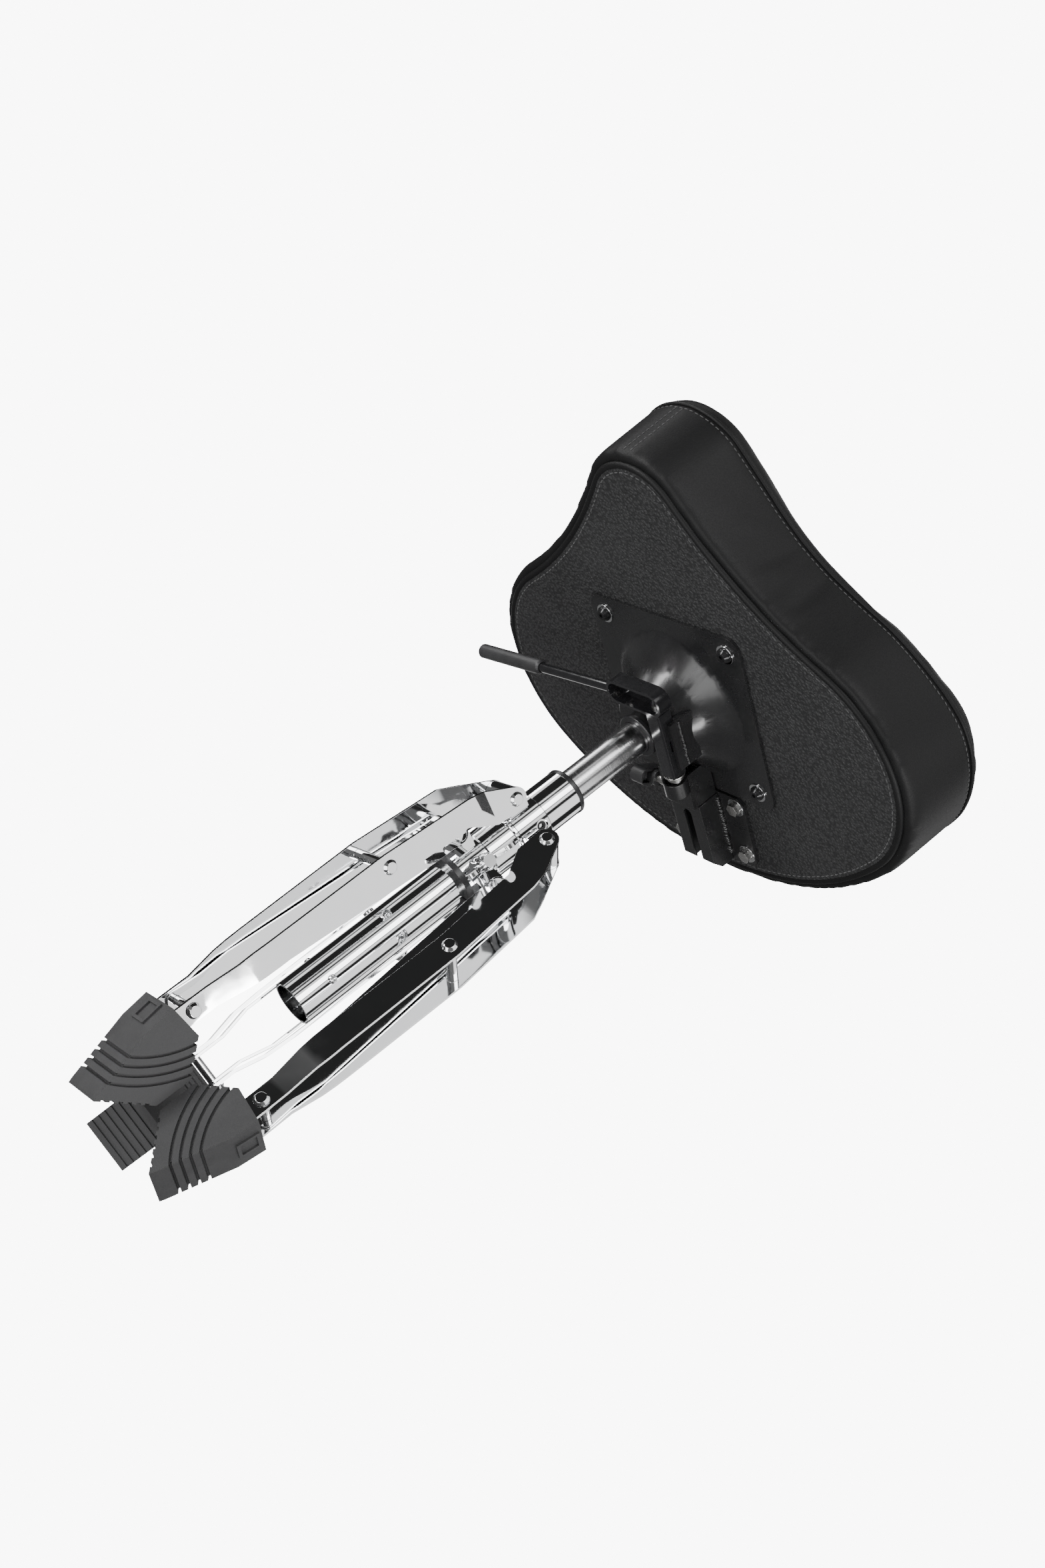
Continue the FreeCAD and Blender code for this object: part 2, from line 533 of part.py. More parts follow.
def corners_of(spread_x, front, rear):
    return [(x, y) for x in ("-" + spread_x, spread_x) for y in (front, rear)]


plate = doc.addObject("PartDesign::Body", "plate")
square = sketched(plate, "XY_Plane", [
    [("-plate_side/2", "-plate_side/2"), ("plate_side/2", "-plate_side/2"),
     ("plate_side/2", "plate_side/2"), ("-plate_side/2", "plate_side/2")]])
pad = plate.newObject("PartDesign::Pad", "pad")
pad.Profile = square
bind(pad, Length="plate_thick")
doc.recompute()
upright = ["Edge%d" % (index + 1) for index, edge in enumerate(pad.Shape.Edges)
           if abs(edge.tangentAt(edge.FirstParameter).z) > 0.9]
rounded = plate.newObject("PartDesign::Fillet", "corners")
rounded.Base = (pad, upright)
bind(rounded, Radius="plate_round")
put(plate, z="seat_plane - plate_thick")
DOME_LOW = "seat_plane - dome_drop"
DOME_OUTSIDE = [
    ("dome_top - 4", DOME_LOW), ("dome_top", DOME_LOW + " + 3"),
    ("dome_top + 4", DOME_LOW + " + 11"), ("dome_top + 10", DOME_LOW + " + 21"),
    ("dome_base - 15", "seat_plane - plate_thick - 10"),
    ("dome_base - 7", "seat_plane - plate_thick - 3.2"),
    ("dome_base", "seat_plane - plate_thick")]
dome = turned([
    ("seat_hub_dia/2 + run_gap", DOME_LOW), *DOME_OUTSIDE, ("dome_base", "seat_plane"),
    ("dome_base - 8", "seat_plane - 2.8"), ("dome_base - 16", "seat_plane - 9.5"),
    ("dome_top + 7", DOME_LOW + " + 22.5"), ("dome_top - 3", DOME_LOW + " + 5"),
    ("dome_top - 5.5", DOME_LOW + " + plate_thick"),
    ("seat_hub_dia/2 + run_gap", DOME_LOW + " + plate_thick")])
screw_places = corners_of("screw_spacing/2", "screw_spacing/2", "-screw_spacing/2")
plate_bores = [rod("screw_dia/2 + 0.3", "40", x=x, y=y, z="seat_plane - 20")
               for x, y in screw_places]
opening = rod("dome_base - 0.5", "30", z="seat_plane - 10")
finger_slot = block("24", "finger_width + 6", "20", x="barrel_x - 8", y="-finger_width/2 - 3",
                    z=DOME_LOW + " - 8")
node("seat_plate", cut(fuse(cut(plate, opening), dome), *plate_bores, finger_slot))
node("seat_hub", turned([
    ("shaft_dia/2 + run_gap", "seat_hub_bottom"), ("seat_hub_dia/2 - 1", "seat_hub_bottom"),
    ("seat_hub_dia/2", "seat_hub_bottom + 1"), ("seat_hub_dia/2", "shaft_top - 7"),
    ("shaft_dia/2 + run_gap", "shaft_top - 7")]))
node("hub_ring", turned([
    ("shaft_dia/2 + slide_gap", "seat_hub_bottom - ring_height"),
    ("ring_dia/2 - 1", "seat_hub_bottom - ring_height"),
    ("ring_dia/2", "seat_hub_bottom - ring_height + 1"),
    ("ring_dia/2", "seat_hub_bottom"), ("shaft_dia/2 + slide_gap", "seat_hub_bottom")]))


def washer(x, y, top, inner):
    ring = rod("washer_dia/2", "washer_thick", x=x, y=y, z=top + " - washer_thick")
    return cut(ring, rod(inner, "10", x=x, y=y, z=top + " - 5"))


UNDER_PLATE = "seat_plane - plate_thick"
TEE_TOP = "seat_plane + panel_thick + board_thick"


def button_screw(x, y):
    """A socket button head under the plate with its shank up into the board."""
    under = "(%s - washer_thick)" % UNDER_PLATE
    head = cone("button_dia/2 - 2.4", "button_dia/2", "button_height - 1", x=x, y=y,
                z=under + " - button_height")
    rim = rod("button_dia/2", "1", x=x, y=y, z=under + " - 1")
    shank = rod("screw_dia/2", "%s - 1 - %s" % (TEE_TOP, under), x=x, y=y, z=under)
    drive = bind(doc.addObject("Part::Prism", "hex"), Circumradius="screw_dia/3", Height="2.6")
    put(drive, x, y, under + " - button_height - 0.1")
    return cut(fuse(head, rim, shank), drive)


node("plate_screws", group(*[button_screw(x, y) for x, y in screw_places]))

# ---------------------------------------------------------------- cushion


def seat_outline(inset):
    """The seat's plan: nose, flanks, lobes and rear as tangent arcs, drawn inwards by an inset."""
    nose = FreeCAD.Vector(0, value("seat_nose - nose_radius"), 0)
    nose_radius = value("nose_radius")
    lobe_radius = value("lobe_radius")
    flank_radius = value("flank_radius")
    lobe = FreeCAD.Vector(value("seat_half") - lobe_radius, -value("lobe_back"), 0)
    span = lobe - nose
    to_nose = nose_radius + flank_radius
    to_lobe = lobe_radius + flank_radius
    along = (span.Length ** 2 + to_nose ** 2 - to_lobe ** 2) / (2 * span.Length)
    aside = math.sqrt(to_nose ** 2 - along ** 2)
    unit = span / span.Length
    flank = nose + unit * along + FreeCAD.Vector(-unit.y, unit.x, 0) * aside
    reach = -value("seat_rear") - lobe.y
    rear_radius = (lobe.x ** 2 + reach ** 2 - lobe_radius ** 2) / (-2 * (lobe_radius + reach))
    rear = FreeCAD.Vector(0, rear_radius - value("seat_rear"), 0)

    def at(centre, radius, towards):
        offset = towards - centre
        return centre + offset * (radius / offset.Length)

    def flip(point):
        return FreeCAD.Vector(-point.x, point.y, 0)

    nose_end = at(nose, nose_radius - inset, flank)
    lobe_start = at(lobe, lobe_radius - inset, flank)
    lobe_end = lobe + (lobe - rear) * ((lobe_radius - inset) / (lobe - rear).Length)
    flank_mid = at(flank, flank_radius + inset, (nose_end + lobe_start) / 2)
    lobe_mid = at(lobe, lobe_radius - inset, lobe + FreeCAD.Vector(1, -0.1, 0))
    edges = [
        Part.Arc(flip(nose_end), FreeCAD.Vector(0, nose.y + nose_radius - inset, 0), nose_end),
        Part.Arc(nose_end, flank_mid, lobe_start),
        Part.Arc(lobe_start, lobe_mid, lobe_end),
        Part.Arc(lobe_end, FreeCAD.Vector(0, inset - value("seat_rear"), 0), flip(lobe_end)),
        Part.Arc(flip(lobe_end), flip(lobe_mid), flip(lobe_start)),
        Part.Arc(flip(lobe_start), flip(flank_mid), flip(nose_end)),
    ]
    return Part.Face(Part.Wire([edge.toShape() for edge in edges]))


def slab_of(inset, bottom, thick):
    """A flat slab with the seat's plan."""
    face = seat_outline(inset)
    face.translate(FreeCAD.Vector(0, 0, bottom))
    return face.extrude(FreeCAD.Vector(0, 0, thick))


def shaped(shape):
    thing = doc.addObject("Part::Feature", "shaped")
    thing.Shape = shape
    return thing


seat_plane = value("seat_plane")
gap = value("body_gap")
panel = shaped(slab_of(value("panel_inset"), seat_plane, value("panel_thick")))
board = shaped(slab_of(value("board_inset"), value("seat_plane + panel_thick"),
                       value("board_thick")))
base_places = corners_of("base_screw_x", "-base_screw_front", "-base_screw_rear")
base_bores = [rod("screw_dia/2 + 0.3", "40", x=x, y=y, z="seat_plane - 20")
              for x, y in base_places]
tee_bores = [rod("tee_dia/2 + 0.1", "tee_thick + 1", x=x, y=y, z=TEE_TOP + " - tee_thick")
             for x, y in screw_places + base_places]
node("seat_panel", cut(panel, *plate_bores, *base_bores))
node("seat_board", cut(board, *plate_bores, *base_bores, *tee_bores))
node("tee_nuts", group(*[
    cut(rod("tee_dia/2", "tee_thick", x=x, y=y, z=TEE_TOP + " - tee_thick"),
        rod("screw_dia/2 + run_gap", "10", x=x, y=y, z=TEE_TOP + " - 5"))
    for x, y in screw_places + base_places]))
foam = slab_of(0, seat_plane, value("seat_thick"))
rims = [edge for edge in foam.Edges if abs(edge.Vertexes[0].Z - edge.Vertexes[-1].Z) < 0.01]
foam = foam.makeFillet(value("edge_radius"), [edge for edge in rims
                                              if edge.Vertexes[0].Z > seat_plane + 1])
pocket = slab_of(value("panel_inset") - gap, seat_plane - 1,
                 value("panel_thick + board_thick") + 1 + gap)
node("seat_cushion", shaped(foam.cut(pocket)))

# ---------------------------------------------------------------- release mechanism


def beam(width, height, start, length, x="0", z="0"):
    """A square bar along +Y with chamfered long edges, centred on x and z."""
    half_x, half_z, edge = "(%s)/2" % width, "(%s)/2" % height, "1.2"
    corners = []
    for sx, sz, first in ((1, -1, 0), (1, 1, 1), (-1, 1, 0), (-1, -1, 1)):
        near = ("%d*(%s - %s)" % (sx, half_x, edge), "%d*%s" % (sz, half_z))
        far = ("%d*%s" % (sx, half_x), "%d*(%s - %s)" % (sz, half_z, edge))
        corners += [far, near] if first else [near, far]
    bar = plated("XZ_Plane", corners, length)
    return put(fuse_one(bar), x, "%s + (%s)/2" % (start, length), z)


BARREL = {"x": "barrel_x", "z": "barrel_height", "along": "y"}
barrel = beam("barrel_dia", "barrel_dia + 0.5", "-barrel_rear", "barrel_front + barrel_rear",
              "barrel_x", "barrel_height")
barrel_bore = rod("release_dia/2 + slide_gap", "200", y="-100", **BARREL)
window = block("barrel_dia + 2", "finger_width + 3", "barrel_dia", x="barrel_x - barrel_dia/2 - 1",
               y="-finger_width/2 - 1.5", z="barrel_height - 2")
node("release_barrel", cut(barrel, barrel_bore, window))
dome_fill = turned([("0", DOME_LOW), *DOME_OUTSIDE, ("0", "seat_plane - plate_thick")])
# the welded bracket that closes the corner between the barrel and the dome
bracket_blank = block("7", "44", "24", x="barrel_x - barrel_dia/2 - 4", y="-23",
                      z="barrel_height - 1")
barrel_space = block("barrel_dia", "200", "barrel_dia + 0.5", x="barrel_x - barrel_dia/2",
                     y="-100", z="barrel_height - barrel_dia/2 - 0.25")
node("barrel_block", cut(bracket_blank, dome_fill, barrel_space))
node("release_shaft", fuse(
    rod("release_dia/2", "barrel_front + barrel_rear + 15", y="-barrel_rear - 8", **BARREL),
    block("finger_thick", "finger_width", "valve_top + press_gap + finger_thick - barrel_height",
          x="barrel_x - finger_thick/2", y="-finger_width/2", z="barrel_height"),
    block("-barrel_x + 4 + finger_thick/2", "finger_width", "finger_thick",
          x="barrel_x - finger_thick/2", y="-finger_width/2", z="valve_top + press_gap")))
node("shaft_nut", cut(fuse(
    rod("barrel_dia/2 + 1.5", "1.2", x="barrel_x", y="-barrel_rear - 1.4", z="barrel_height",
        along="y"),
    rod("barrel_dia/2 - 0.5", "4", x="barrel_x", y="-barrel_rear - 5.2", z="barrel_height",
        along="y")), rod("release_dia/2 + run_gap", "200", y="-100", **BARREL)))


def stadium(half, bottom, height):
    """A long round-ended slab over the release arm's plan."""
    flat = block("arm_front - arm_rear", "2*(%s)" % half, height, x="arm_rear",
                 y="arm_y - (%s)" % half, z=bottom)
    ends = [rod(half, height, x=x, y="arm_y", z=bottom) for x in ("arm_rear", "arm_front")]
    return fuse(flat, *ends)


# the arm is a pressed pan, open downwards, with its floor against the end of the shaft
ARM_LOW = "(barrel_height - arm_low)"
ARM_FLOOR = "(barrel_height + arm_high - arm_floor)"
LEVER_HEIGHT = "(barrel_height - lever_drop)"
LEVER_START = "arm_front + arm_width/2 - arm_wall"
arm_hollow = stadium("arm_width/2 - arm_wall", ARM_LOW + " - 1", ARM_FLOOR + " - " + ARM_LOW + " + 1")
shaft_space = rod("release_dia/2 + run_gap", "120", y="-70", **BARREL)


def on_lever(thing):
    return put(tilted(thing, (0, 0, 1), "-lever_sweep"), x=LEVER_START, y="arm_y",
               z=LEVER_HEIGHT)


lever_bore = on_lever(fuse_one(rod("lever_dia/2 + run_gap", "40", along="x")))
node("release_arm", cut(stadium("arm_width/2", ARM_LOW, "arm_low + arm_high"), arm_hollow,
                        shaft_space, lever_bore))
node("arm_rivets", group(*[
    cone("3", "4.4", "1.6", x=x, y="arm_y + 2", z=ARM_FLOOR + " - 1.6")
    for x in ("arm_rear - 1", "arm_front")]))
node("lever_rod", on_lever(fuse_one(rod("lever_dia/2", "lever_length", along="x"))))
node("lever_grip", on_lever(fuse_one(cut(fuse(
    rod("grip_dia/2", "grip_length - 6", x="lever_length - grip_overlap", along="x"),
    cone("grip_dia/2", "grip_dia/2 - 2", "2", x="lever_length - grip_overlap + grip_length - 6",
         along="x"),
    cone("grip_dia/2 - 1.4", "grip_dia/2", "3", x="lever_length - grip_overlap - 3", along="x")),
    rod("lever_dia/2 + run_gap", "grip_overlap + 4", x="lever_length - grip_overlap - 4",
        along="x")))))

# ---------------------------------------------------------------- backrest receiver

base = plated("XY_Plane", [
    ("-base_half + 6", "-base_front"), ("base_half - 6", "-base_front"),
    ("base_half", "-base_front - 6"), ("base_half", "-base_rear + 6"),
    ("base_half - 6", "-base_rear"), ("-base_half + 6", "-base_rear"),
    ("-base_half", "-base_rear + 6"), ("-base_half", "-base_front - 6")],
    "base_thick", both=False)
put(base, z="seat_plane - base_thick")
node("receiver_base", cut(base, *base_bores))
UNDER_BASE = "seat_plane - base_thick"
node("seat_washers", group(
    *[washer(x, y, UNDER_PLATE, "screw_dia/2 + 0.3") for x, y in screw_places],
    *[washer(x, y, UNDER_BASE, "screw_dia/2 + 0.3") for x, y in base_places]))


def hex_screw(x, y):
    under = "(%s - washer_thick)" % UNDER_BASE
    head = bind(doc.addObject("Part::Prism", "hex"), Circumradius="hex_dia/2",
                Height="hex_height")
    put(head, x, y, under + " - hex_height")
    shank = rod("screw_dia/2", "%s - 1 - %s" % (TEE_TOP, under), x=x, y=y, z=under)
    return fuse(head, shank)


node("receiver_screws", group(*[hex_screw(x, y) for x, y in base_places]))
# the open-bottomed channel that the backrest's post slides into, chamfered at its free end
side_view = [
    ("-channel_front", UNDER_BASE), ("-channel_front", UNDER_BASE + " - channel_drop"),
    ("-channel_rear + 10", UNDER_BASE + " - channel_drop"),
    ("-channel_rear", UNDER_BASE + " - channel_drop + 9"), ("-channel_rear", UNDER_BASE)]
channel = plated("YZ_Plane", side_view, "2*channel_half")
hollow = block("2*(channel_half - channel_wall)", "200", "channel_drop - channel_wall",
               x="-channel_half + channel_wall", y="-base_rear - 60",
               z=UNDER_BASE + " - channel_drop + channel_wall")
slot = block("slot_width", "100", "channel_wall + 4", x="-slot_width/2", y="-slot_front - 100",
             z=UNDER_BASE + " - channel_drop - 2")
node("receiver_channel", cut(channel, hollow, slot, rod("slot_width/2", "channel_wall + 4",
     y="-slot_front", z=UNDER_BASE + " - channel_drop - 2")))
upper = block("2*upper_half", "channel_front - upper_front", "upper_drop", x="-upper_half",
              y="-channel_front", z=UNDER_BASE + " - upper_drop")
upper_hollow = block("2*(upper_half - channel_wall)", "200", "upper_drop - channel_wall",
                     x="-upper_half + channel_wall", y="-channel_front - 20",
                     z=UNDER_BASE + " - upper_drop + channel_wall")
knob_hole = rod("shank_dia/2", "60", y="-knob_back", z="knob_height", along="x")
node("receiver_bridge", cut(upper, upper_hollow, dome_fill, knob_hole))
# a short round cup in front of the bridge that shields the end of the release shaft
CUP = {"x": "barrel_x + 6", "z": "barrel_height + 3", "along": "y"}
node("receiver_cup", cut(
    rod("barrel_dia/2 + 3", "14", y="-upper_front - 2", **CUP),
    rod("barrel_dia/2 + 0.6", "9", y="-upper_front + 5", **CUP),
    block("2*upper_half", "60", "60", x="-upper_half", y="-upper_front - 60",
          z=UNDER_BASE + " - upper_drop"), dome_fill))
node("knob_screw", rod("shank_dia/2 - run_gap", "shank_show + channel_wall + 10",
                       x="upper_half - channel_wall", y="-knob_back", z="knob_height", along="x"))
# the knob is a long round-ended grip with a round boss on its screw
KNOB_X = "(upper_half + shank_show)"
KNOB_HALF = "(knob_span/2 - knob_width/2)"
knob_body = fuse(
    block("knob_length", "2*" + KNOB_HALF, "knob_width", y="-" + KNOB_HALF, z="-knob_width/2"),
    rod("knob_width/2", "knob_length", y=KNOB_HALF, along="x"),
    rod("knob_width/2", "knob_length", y="-" + KNOB_HALF, along="x"),
    rod("shank_dia/2 + 3", "5", x="-5", along="x"))
knob_pocket = cut(
    block("5", "knob_span - 6", "knob_width - 5", x="-1", y="3 - knob_span/2",
          z="2.5 - knob_width/2"),
    rod("shank_dia/2 + 3", "20", x="-6", along="x"))
knob_bore = rod("shank_dia/2", "16.2", x="-6", along="x")
node("receiver_knob", put(tilted(fuse_one(cut(knob_body, knob_pocket, knob_bore)), (1, 0, 0),
                                 "-knob_turn"), x=KNOB_X, y="-knob_back", z="knob_height"))

# ---------------------------------------------------------------- checks and files

doc.recompute()
failed = [item.Label for item in doc.Objects
          if "Invalid" in item.State or "Error" in item.State]
for item in NODES:
    shape = item.Shape
    if shape.isNull() or not shape.isValid() or not shape.Solids:
        failed.append(item.Label)
if failed:
    raise SystemExit("failed objects: " + ", ".join(sorted(set(failed))))
if len({item.Label for item in NODES}) != len(NODES):
    raise SystemExit("two nodes share a label")

os.makedirs("parts", exist_ok=True)
for item in NODES:
    item.Shape.exportStep(os.path.join("parts", item.Label + ".step"))
print(len(NODES), "nodes written")
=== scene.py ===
"""Drum throne with a saddle seat, gas lift and folding tripod, finished around its CAD frame."""
import math
import random

import bmesh
import bpy
from mathutils import Matrix, Vector
from mathutils.bvhtree import BVHTree
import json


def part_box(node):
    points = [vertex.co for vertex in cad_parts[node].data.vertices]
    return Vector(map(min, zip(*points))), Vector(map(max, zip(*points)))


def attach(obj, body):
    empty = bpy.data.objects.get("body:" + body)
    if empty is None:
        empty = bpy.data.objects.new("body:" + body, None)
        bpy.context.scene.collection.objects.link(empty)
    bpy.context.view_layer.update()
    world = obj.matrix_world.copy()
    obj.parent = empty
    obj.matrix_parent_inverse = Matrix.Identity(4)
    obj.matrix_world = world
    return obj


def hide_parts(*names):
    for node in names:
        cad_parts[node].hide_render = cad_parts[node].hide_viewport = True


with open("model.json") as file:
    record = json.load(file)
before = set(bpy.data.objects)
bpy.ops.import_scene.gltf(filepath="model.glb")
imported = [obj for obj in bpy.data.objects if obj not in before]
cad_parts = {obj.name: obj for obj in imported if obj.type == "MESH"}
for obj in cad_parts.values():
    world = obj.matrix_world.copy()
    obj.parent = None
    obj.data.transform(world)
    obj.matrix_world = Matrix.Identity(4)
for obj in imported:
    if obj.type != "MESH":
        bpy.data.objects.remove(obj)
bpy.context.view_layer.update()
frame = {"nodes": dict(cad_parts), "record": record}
NODES = frame["nodes"]
MM = 0.001
SAME_POINT = 0.02 * MM  # corners of a carried-over mesh nearer than this are one corner

cushion_low, cushion_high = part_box("seat_cushion")
SEAT_PLANE = cushion_low.z
SEAT_TOP = cushion_high.z
COLUMN_Y = (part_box("lower_tube")[0].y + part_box("lower_tube")[1].y) / 2

scene = bpy.context.scene
random.seed(7)


# ------------------------------------------------------------------ shader writing


class Value:
    """A shader socket that ordinary arithmetic can be written on."""

    def __init__(self, graph, socket):
        self.graph = graph
        self.socket = socket

    def math(self, operation, *others):
        return self.graph.node("Math", {"operation": operation}, {
            index: item for index, item in enumerate((self, *others))})

    def __add__(self, other):
        return self.math("ADD", other)

    def __radd__(self, other):
        return self.math("ADD", other)

    def __sub__(self, other):
        return self.math("SUBTRACT", other)

    def __rsub__(self, other):
        return self.graph.node("Math", {"operation": "SUBTRACT"}, {0: other, 1: self})

    def __mul__(self, other):
        return self.math("MULTIPLY", other)

    def __rmul__(self, other):
        return self.math("MULTIPLY", other)

    def __truediv__(self, other):
        return self.math("DIVIDE", other)

    def __pow__(self, other):
        return self.math("POWER", other)

    def clamped(self):
        return self.math("MINIMUM", 1.0).math("MAXIMUM", 0.0)

    def above(self, edge, soft=0.02):
        """0 under an edge and 1 over it, with a soft step between."""
        return ((self - (edge - soft)) / (2 * soft)).clamped()


class Graph:
    """The nodes of one material or of the surroundings."""

    def __init__(self, tree):
        self.tree = tree
        tree.nodes.clear()

    def node(self, kind, settings=None, inputs=None, output=0):
        """A new node with its settings and inputs; its chosen output comes back as a Value."""
        made = self.tree.nodes.new("ShaderNode" + kind)
        for name, setting in (settings or {}).items():
            setattr(made, name, setting)
        for name, item in (inputs or {}).items():
            if isinstance(item, Value):
                self.tree.links.new(item.socket, made.inputs[name])
            else:
                made.inputs[name].default_value = item
        return Value(self, made.outputs[output] if made.outputs else None)


def finish(name, colour, roughness, metallic=0.0, coat=0.0, coat_roughness=0.1, specular=0.5,
           anisotropic=0.0, sheen=0.0):
    """A material with its graph, its object coordinates and its surface shader."""
    material = bpy.data.materials.new(name)
    material.use_nodes = True
    material.diffuse_color = (*colour, 1)
    graph = Graph(material.node_tree)
    place = graph.node("TexCoord", output="Object")
    shader = graph.tree.nodes.new("ShaderNodeBsdfPrincipled")
    shader.inputs["Base Color"].default_value = (*colour, 1)
    shader.inputs["Roughness"].default_value = roughness
    shader.inputs["Metallic"].default_value = metallic
    shader.inputs["Coat Weight"].default_value = coat
    shader.inputs["Coat Roughness"].default_value = coat_roughness
    shader.inputs["Specular IOR Level"].default_value = specular
    shader.inputs["Anisotropic"].default_value = anisotropic
    shader.inputs["Sheen Weight"].default_value = sheen
    end = graph.tree.nodes.new("ShaderNodeOutputMaterial")
    graph.tree.links.new(shader.outputs[0], end.inputs[0])
    return material, graph, place, shader


def feed(graph, shader, socket, value):
    """Let a value drive one socket of the surface shader."""
    graph.tree.links.new(value.socket, shader.inputs[socket])


FIRST_COLOUR, SECOND_COLOUR, MIXED_COLOUR = 6, 7, 2  # places among the Mix node's sockets


def shade_between(graph, factor, dark, light):
    """A colour that runs from dark to light with a factor."""
    return graph.node("Mix", {"data_type": "RGBA"}, {
        "Factor": factor, FIRST_COLOUR: (*dark, 1), SECOND_COLOUR: (*light, 1)}, output=MIXED_COLOUR)


def noise(graph, place, scale, detail=3.0, rough=0.55, stretch=None):
    """Soft random variation in the part's own coordinates, drawn out along an axis if stretched."""
    where = place
    if stretch:
        where = graph.node("Mapping", {}, {"Vector": place, "Scale": stretch})
    return graph.node("TexNoise", {}, {"Vector": where, "Scale": scale, "Detail": detail,
                                       "Roughness": rough})


def bump(graph, shader, height, strength, distance, under=None):
    """Relief from a height, on top of another relief if one is given."""
    inputs = {"Height": height, "Strength": strength, "Distance": distance}
    if under is not None:
        inputs["Normal"] = under
    raised = graph.node("Bump", {}, inputs)
    feed(graph, shader, "Normal", raised)
    return raised


def mirror_chrome():
    material, graph, place, shader = finish(
        "mirror_chrome", (0.88, 0.885, 0.89), 0.045, metallic=1.0)
    smudge = noise(graph, place, 38.0, 4.0)
    scuff = noise(graph, place, 420.0, 2.0)
    feed(graph, shader, "Roughness", 0.022 + smudge ** 3.0 * 0.16 + scuff * 0.02)
    feed(graph, shader, "Base Color", shade_between(
        graph, smudge, (0.84, 0.85, 0.86), (0.92, 0.92, 0.925)))
    ripple = noise(graph, place, 55.0, 1.0)
    bump(graph, shader, ripple, 0.10, 0.0006)
    return material


def brushed_shaft():
    material, graph, place, shader = finish(
        "brushed_shaft", (0.66, 0.66, 0.665), 0.2, metallic=1.0, anisotropic=0.35)
    rings = noise(graph, place, 60.0, 3.0, stretch=(1.0, 1.0, 26.0))
    worn = noise(graph, place, 30.0, 4.0, 0.65)
    feed(graph, shader, "Roughness", 0.13 + rings * 0.14 + worn.above(0.6, 0.08) * 0.08)
    feed(graph, shader, "Base Color", shade_between(
        graph, rings, (0.56, 0.56, 0.565), (0.74, 0.74, 0.745)))
    bump(graph, shader, rings, 0.22, 0.0002)
    return material


def satin_black():
    material, graph, place, shader = finish(
        "satin_black", (0.008, 0.008, 0.0085), 0.3, specular=0.6, coat=0.25, coat_roughness=0.16)
    peel = noise(graph, place, 700.0, 2.0)
    cloud = noise(graph, place, 26.0, 4.0, 0.6)
    feed(graph, shader, "Roughness", 0.20 + cloud * 0.15)
    feed(graph, shader, "Base Color", shade_between(
        graph, cloud, (0.006, 0.006, 0.0065), (0.012, 0.012, 0.0125)))
    bump(graph, shader, peel * 0.3 + cloud * 0.8, 0.07, 0.0004)
    return material


def gloss_black():
    material, graph, place, shader = finish(
        "gloss_black", (0.006, 0.006, 0.0065), 0.1, coat=0.6, coat_roughness=0.05)
    wave = noise(graph, place, 90.0, 2.0)
    feed(graph, shader, "Roughness", 0.07 + wave * 0.1)
    feed(graph, shader, "Base Color", shade_between(
        graph, wave, (0.004, 0.004, 0.0045), (0.010, 0.010, 0.011)))
    bump(graph, shader, wave, 0.14, 0.0006)
    return material


def boot_rubber():
    material, graph, place, shader = finish(
        "boot_rubber", (0.032, 0.032, 0.033), 0.62, specular=0.4)
    dust = noise(graph, place, 45.0, 5.0, 0.62)
    grain = noise(graph, place, 1500.0, 2.0)
    feed(graph, shader, "Base Color", shade_between(
        graph, dust, (0.019, 0.019, 0.020), (0.046, 0.046, 0.047)))
    feed(graph, shader, "Roughness", 0.46 + dust * 0.26)
    bump(graph, shader, grain * 0.6 + dust * 0.5, 0.3, 0.0003)
    return material


def moulded_nylon():
    material, graph, place, shader = finish("moulded_nylon", (0.011, 0.011, 0.012), 0.34)
    grain = noise(graph, place, 900.0, 2.0)
    cloud = noise(graph, place, 60.0, 3.0)
    feed(graph, shader, "Roughness", 0.26 + cloud * 0.18)
    feed(graph, shader, "Base Color", shade_between(
        graph, cloud, (0.008, 0.008, 0.009), (0.018, 0.018, 0.019)))
    bump(graph, shader, grain, 0.12, 0.0002)
    return material


def dipped_grip():
    material, graph, place, shader = finish(
        "dipped_grip", (0.02, 0.02, 0.021), 0.38)
    cloud = noise(graph, place, 75.0, 4.0)
    grain = noise(graph, place, 1100.0, 2.0)
    feed(graph, shader, "Roughness", 0.28 + cloud * 0.24)
    feed(graph, shader, "Base Color", shade_between(
        graph, cloud, (0.012, 0.012, 0.013), (0.034, 0.034, 0.035)))
    bump(graph, shader, cloud + grain * 0.3, 0.2, 0.0005)
    return material


def pebbled_panel():
    """Grained cover under the seat: small raised pebbles, their tops painted lighter as a painted
    highlight and the valleys between them painted dark as painted shade.
    """
    material, graph, place, shader = finish(
        "pebbled_panel", (0.022, 0.022, 0.023), 0.5, specular=0.4)
    drift = graph.node("TexNoise", {}, {"Vector": place, "Scale": 160.0, "Detail": 2.0}, output=1)
    shifted = graph.node("VectorMath", {"operation": "MULTIPLY_ADD"}, {
        0: drift, 1: (0.0028, 0.0028, 0.0028), 2: place})
    pebbles = graph.node("TexVoronoi", {"feature": "SMOOTH_F1"}, {
        "Vector": shifted, "Scale": 400.0, "Smoothness": 0.45, "Randomness": 1.0})
    domes = (1.0 - pebbles * 1.35).clamped()
    patches = noise(graph, place, 14.0, 4.0)
    # base colour: random patches plus painted light on the pebbles, a painted highlight on their tops
    # and painted shade in the valleys
    patches_and_painted_pebble_light = (domes * 0.75 + patches * 0.4 - 0.1).clamped()
    feed(graph, shader, "Base Color", shade_between(
        graph, patches_and_painted_pebble_light, (0.008, 0.008, 0.0085), (0.036, 0.036, 0.037)))
    feed(graph, shader, "Roughness", 0.60 - domes * 0.18 + patches * 0.06)
    bump(graph, shader, domes, 0.9, 0.0011)
    return material


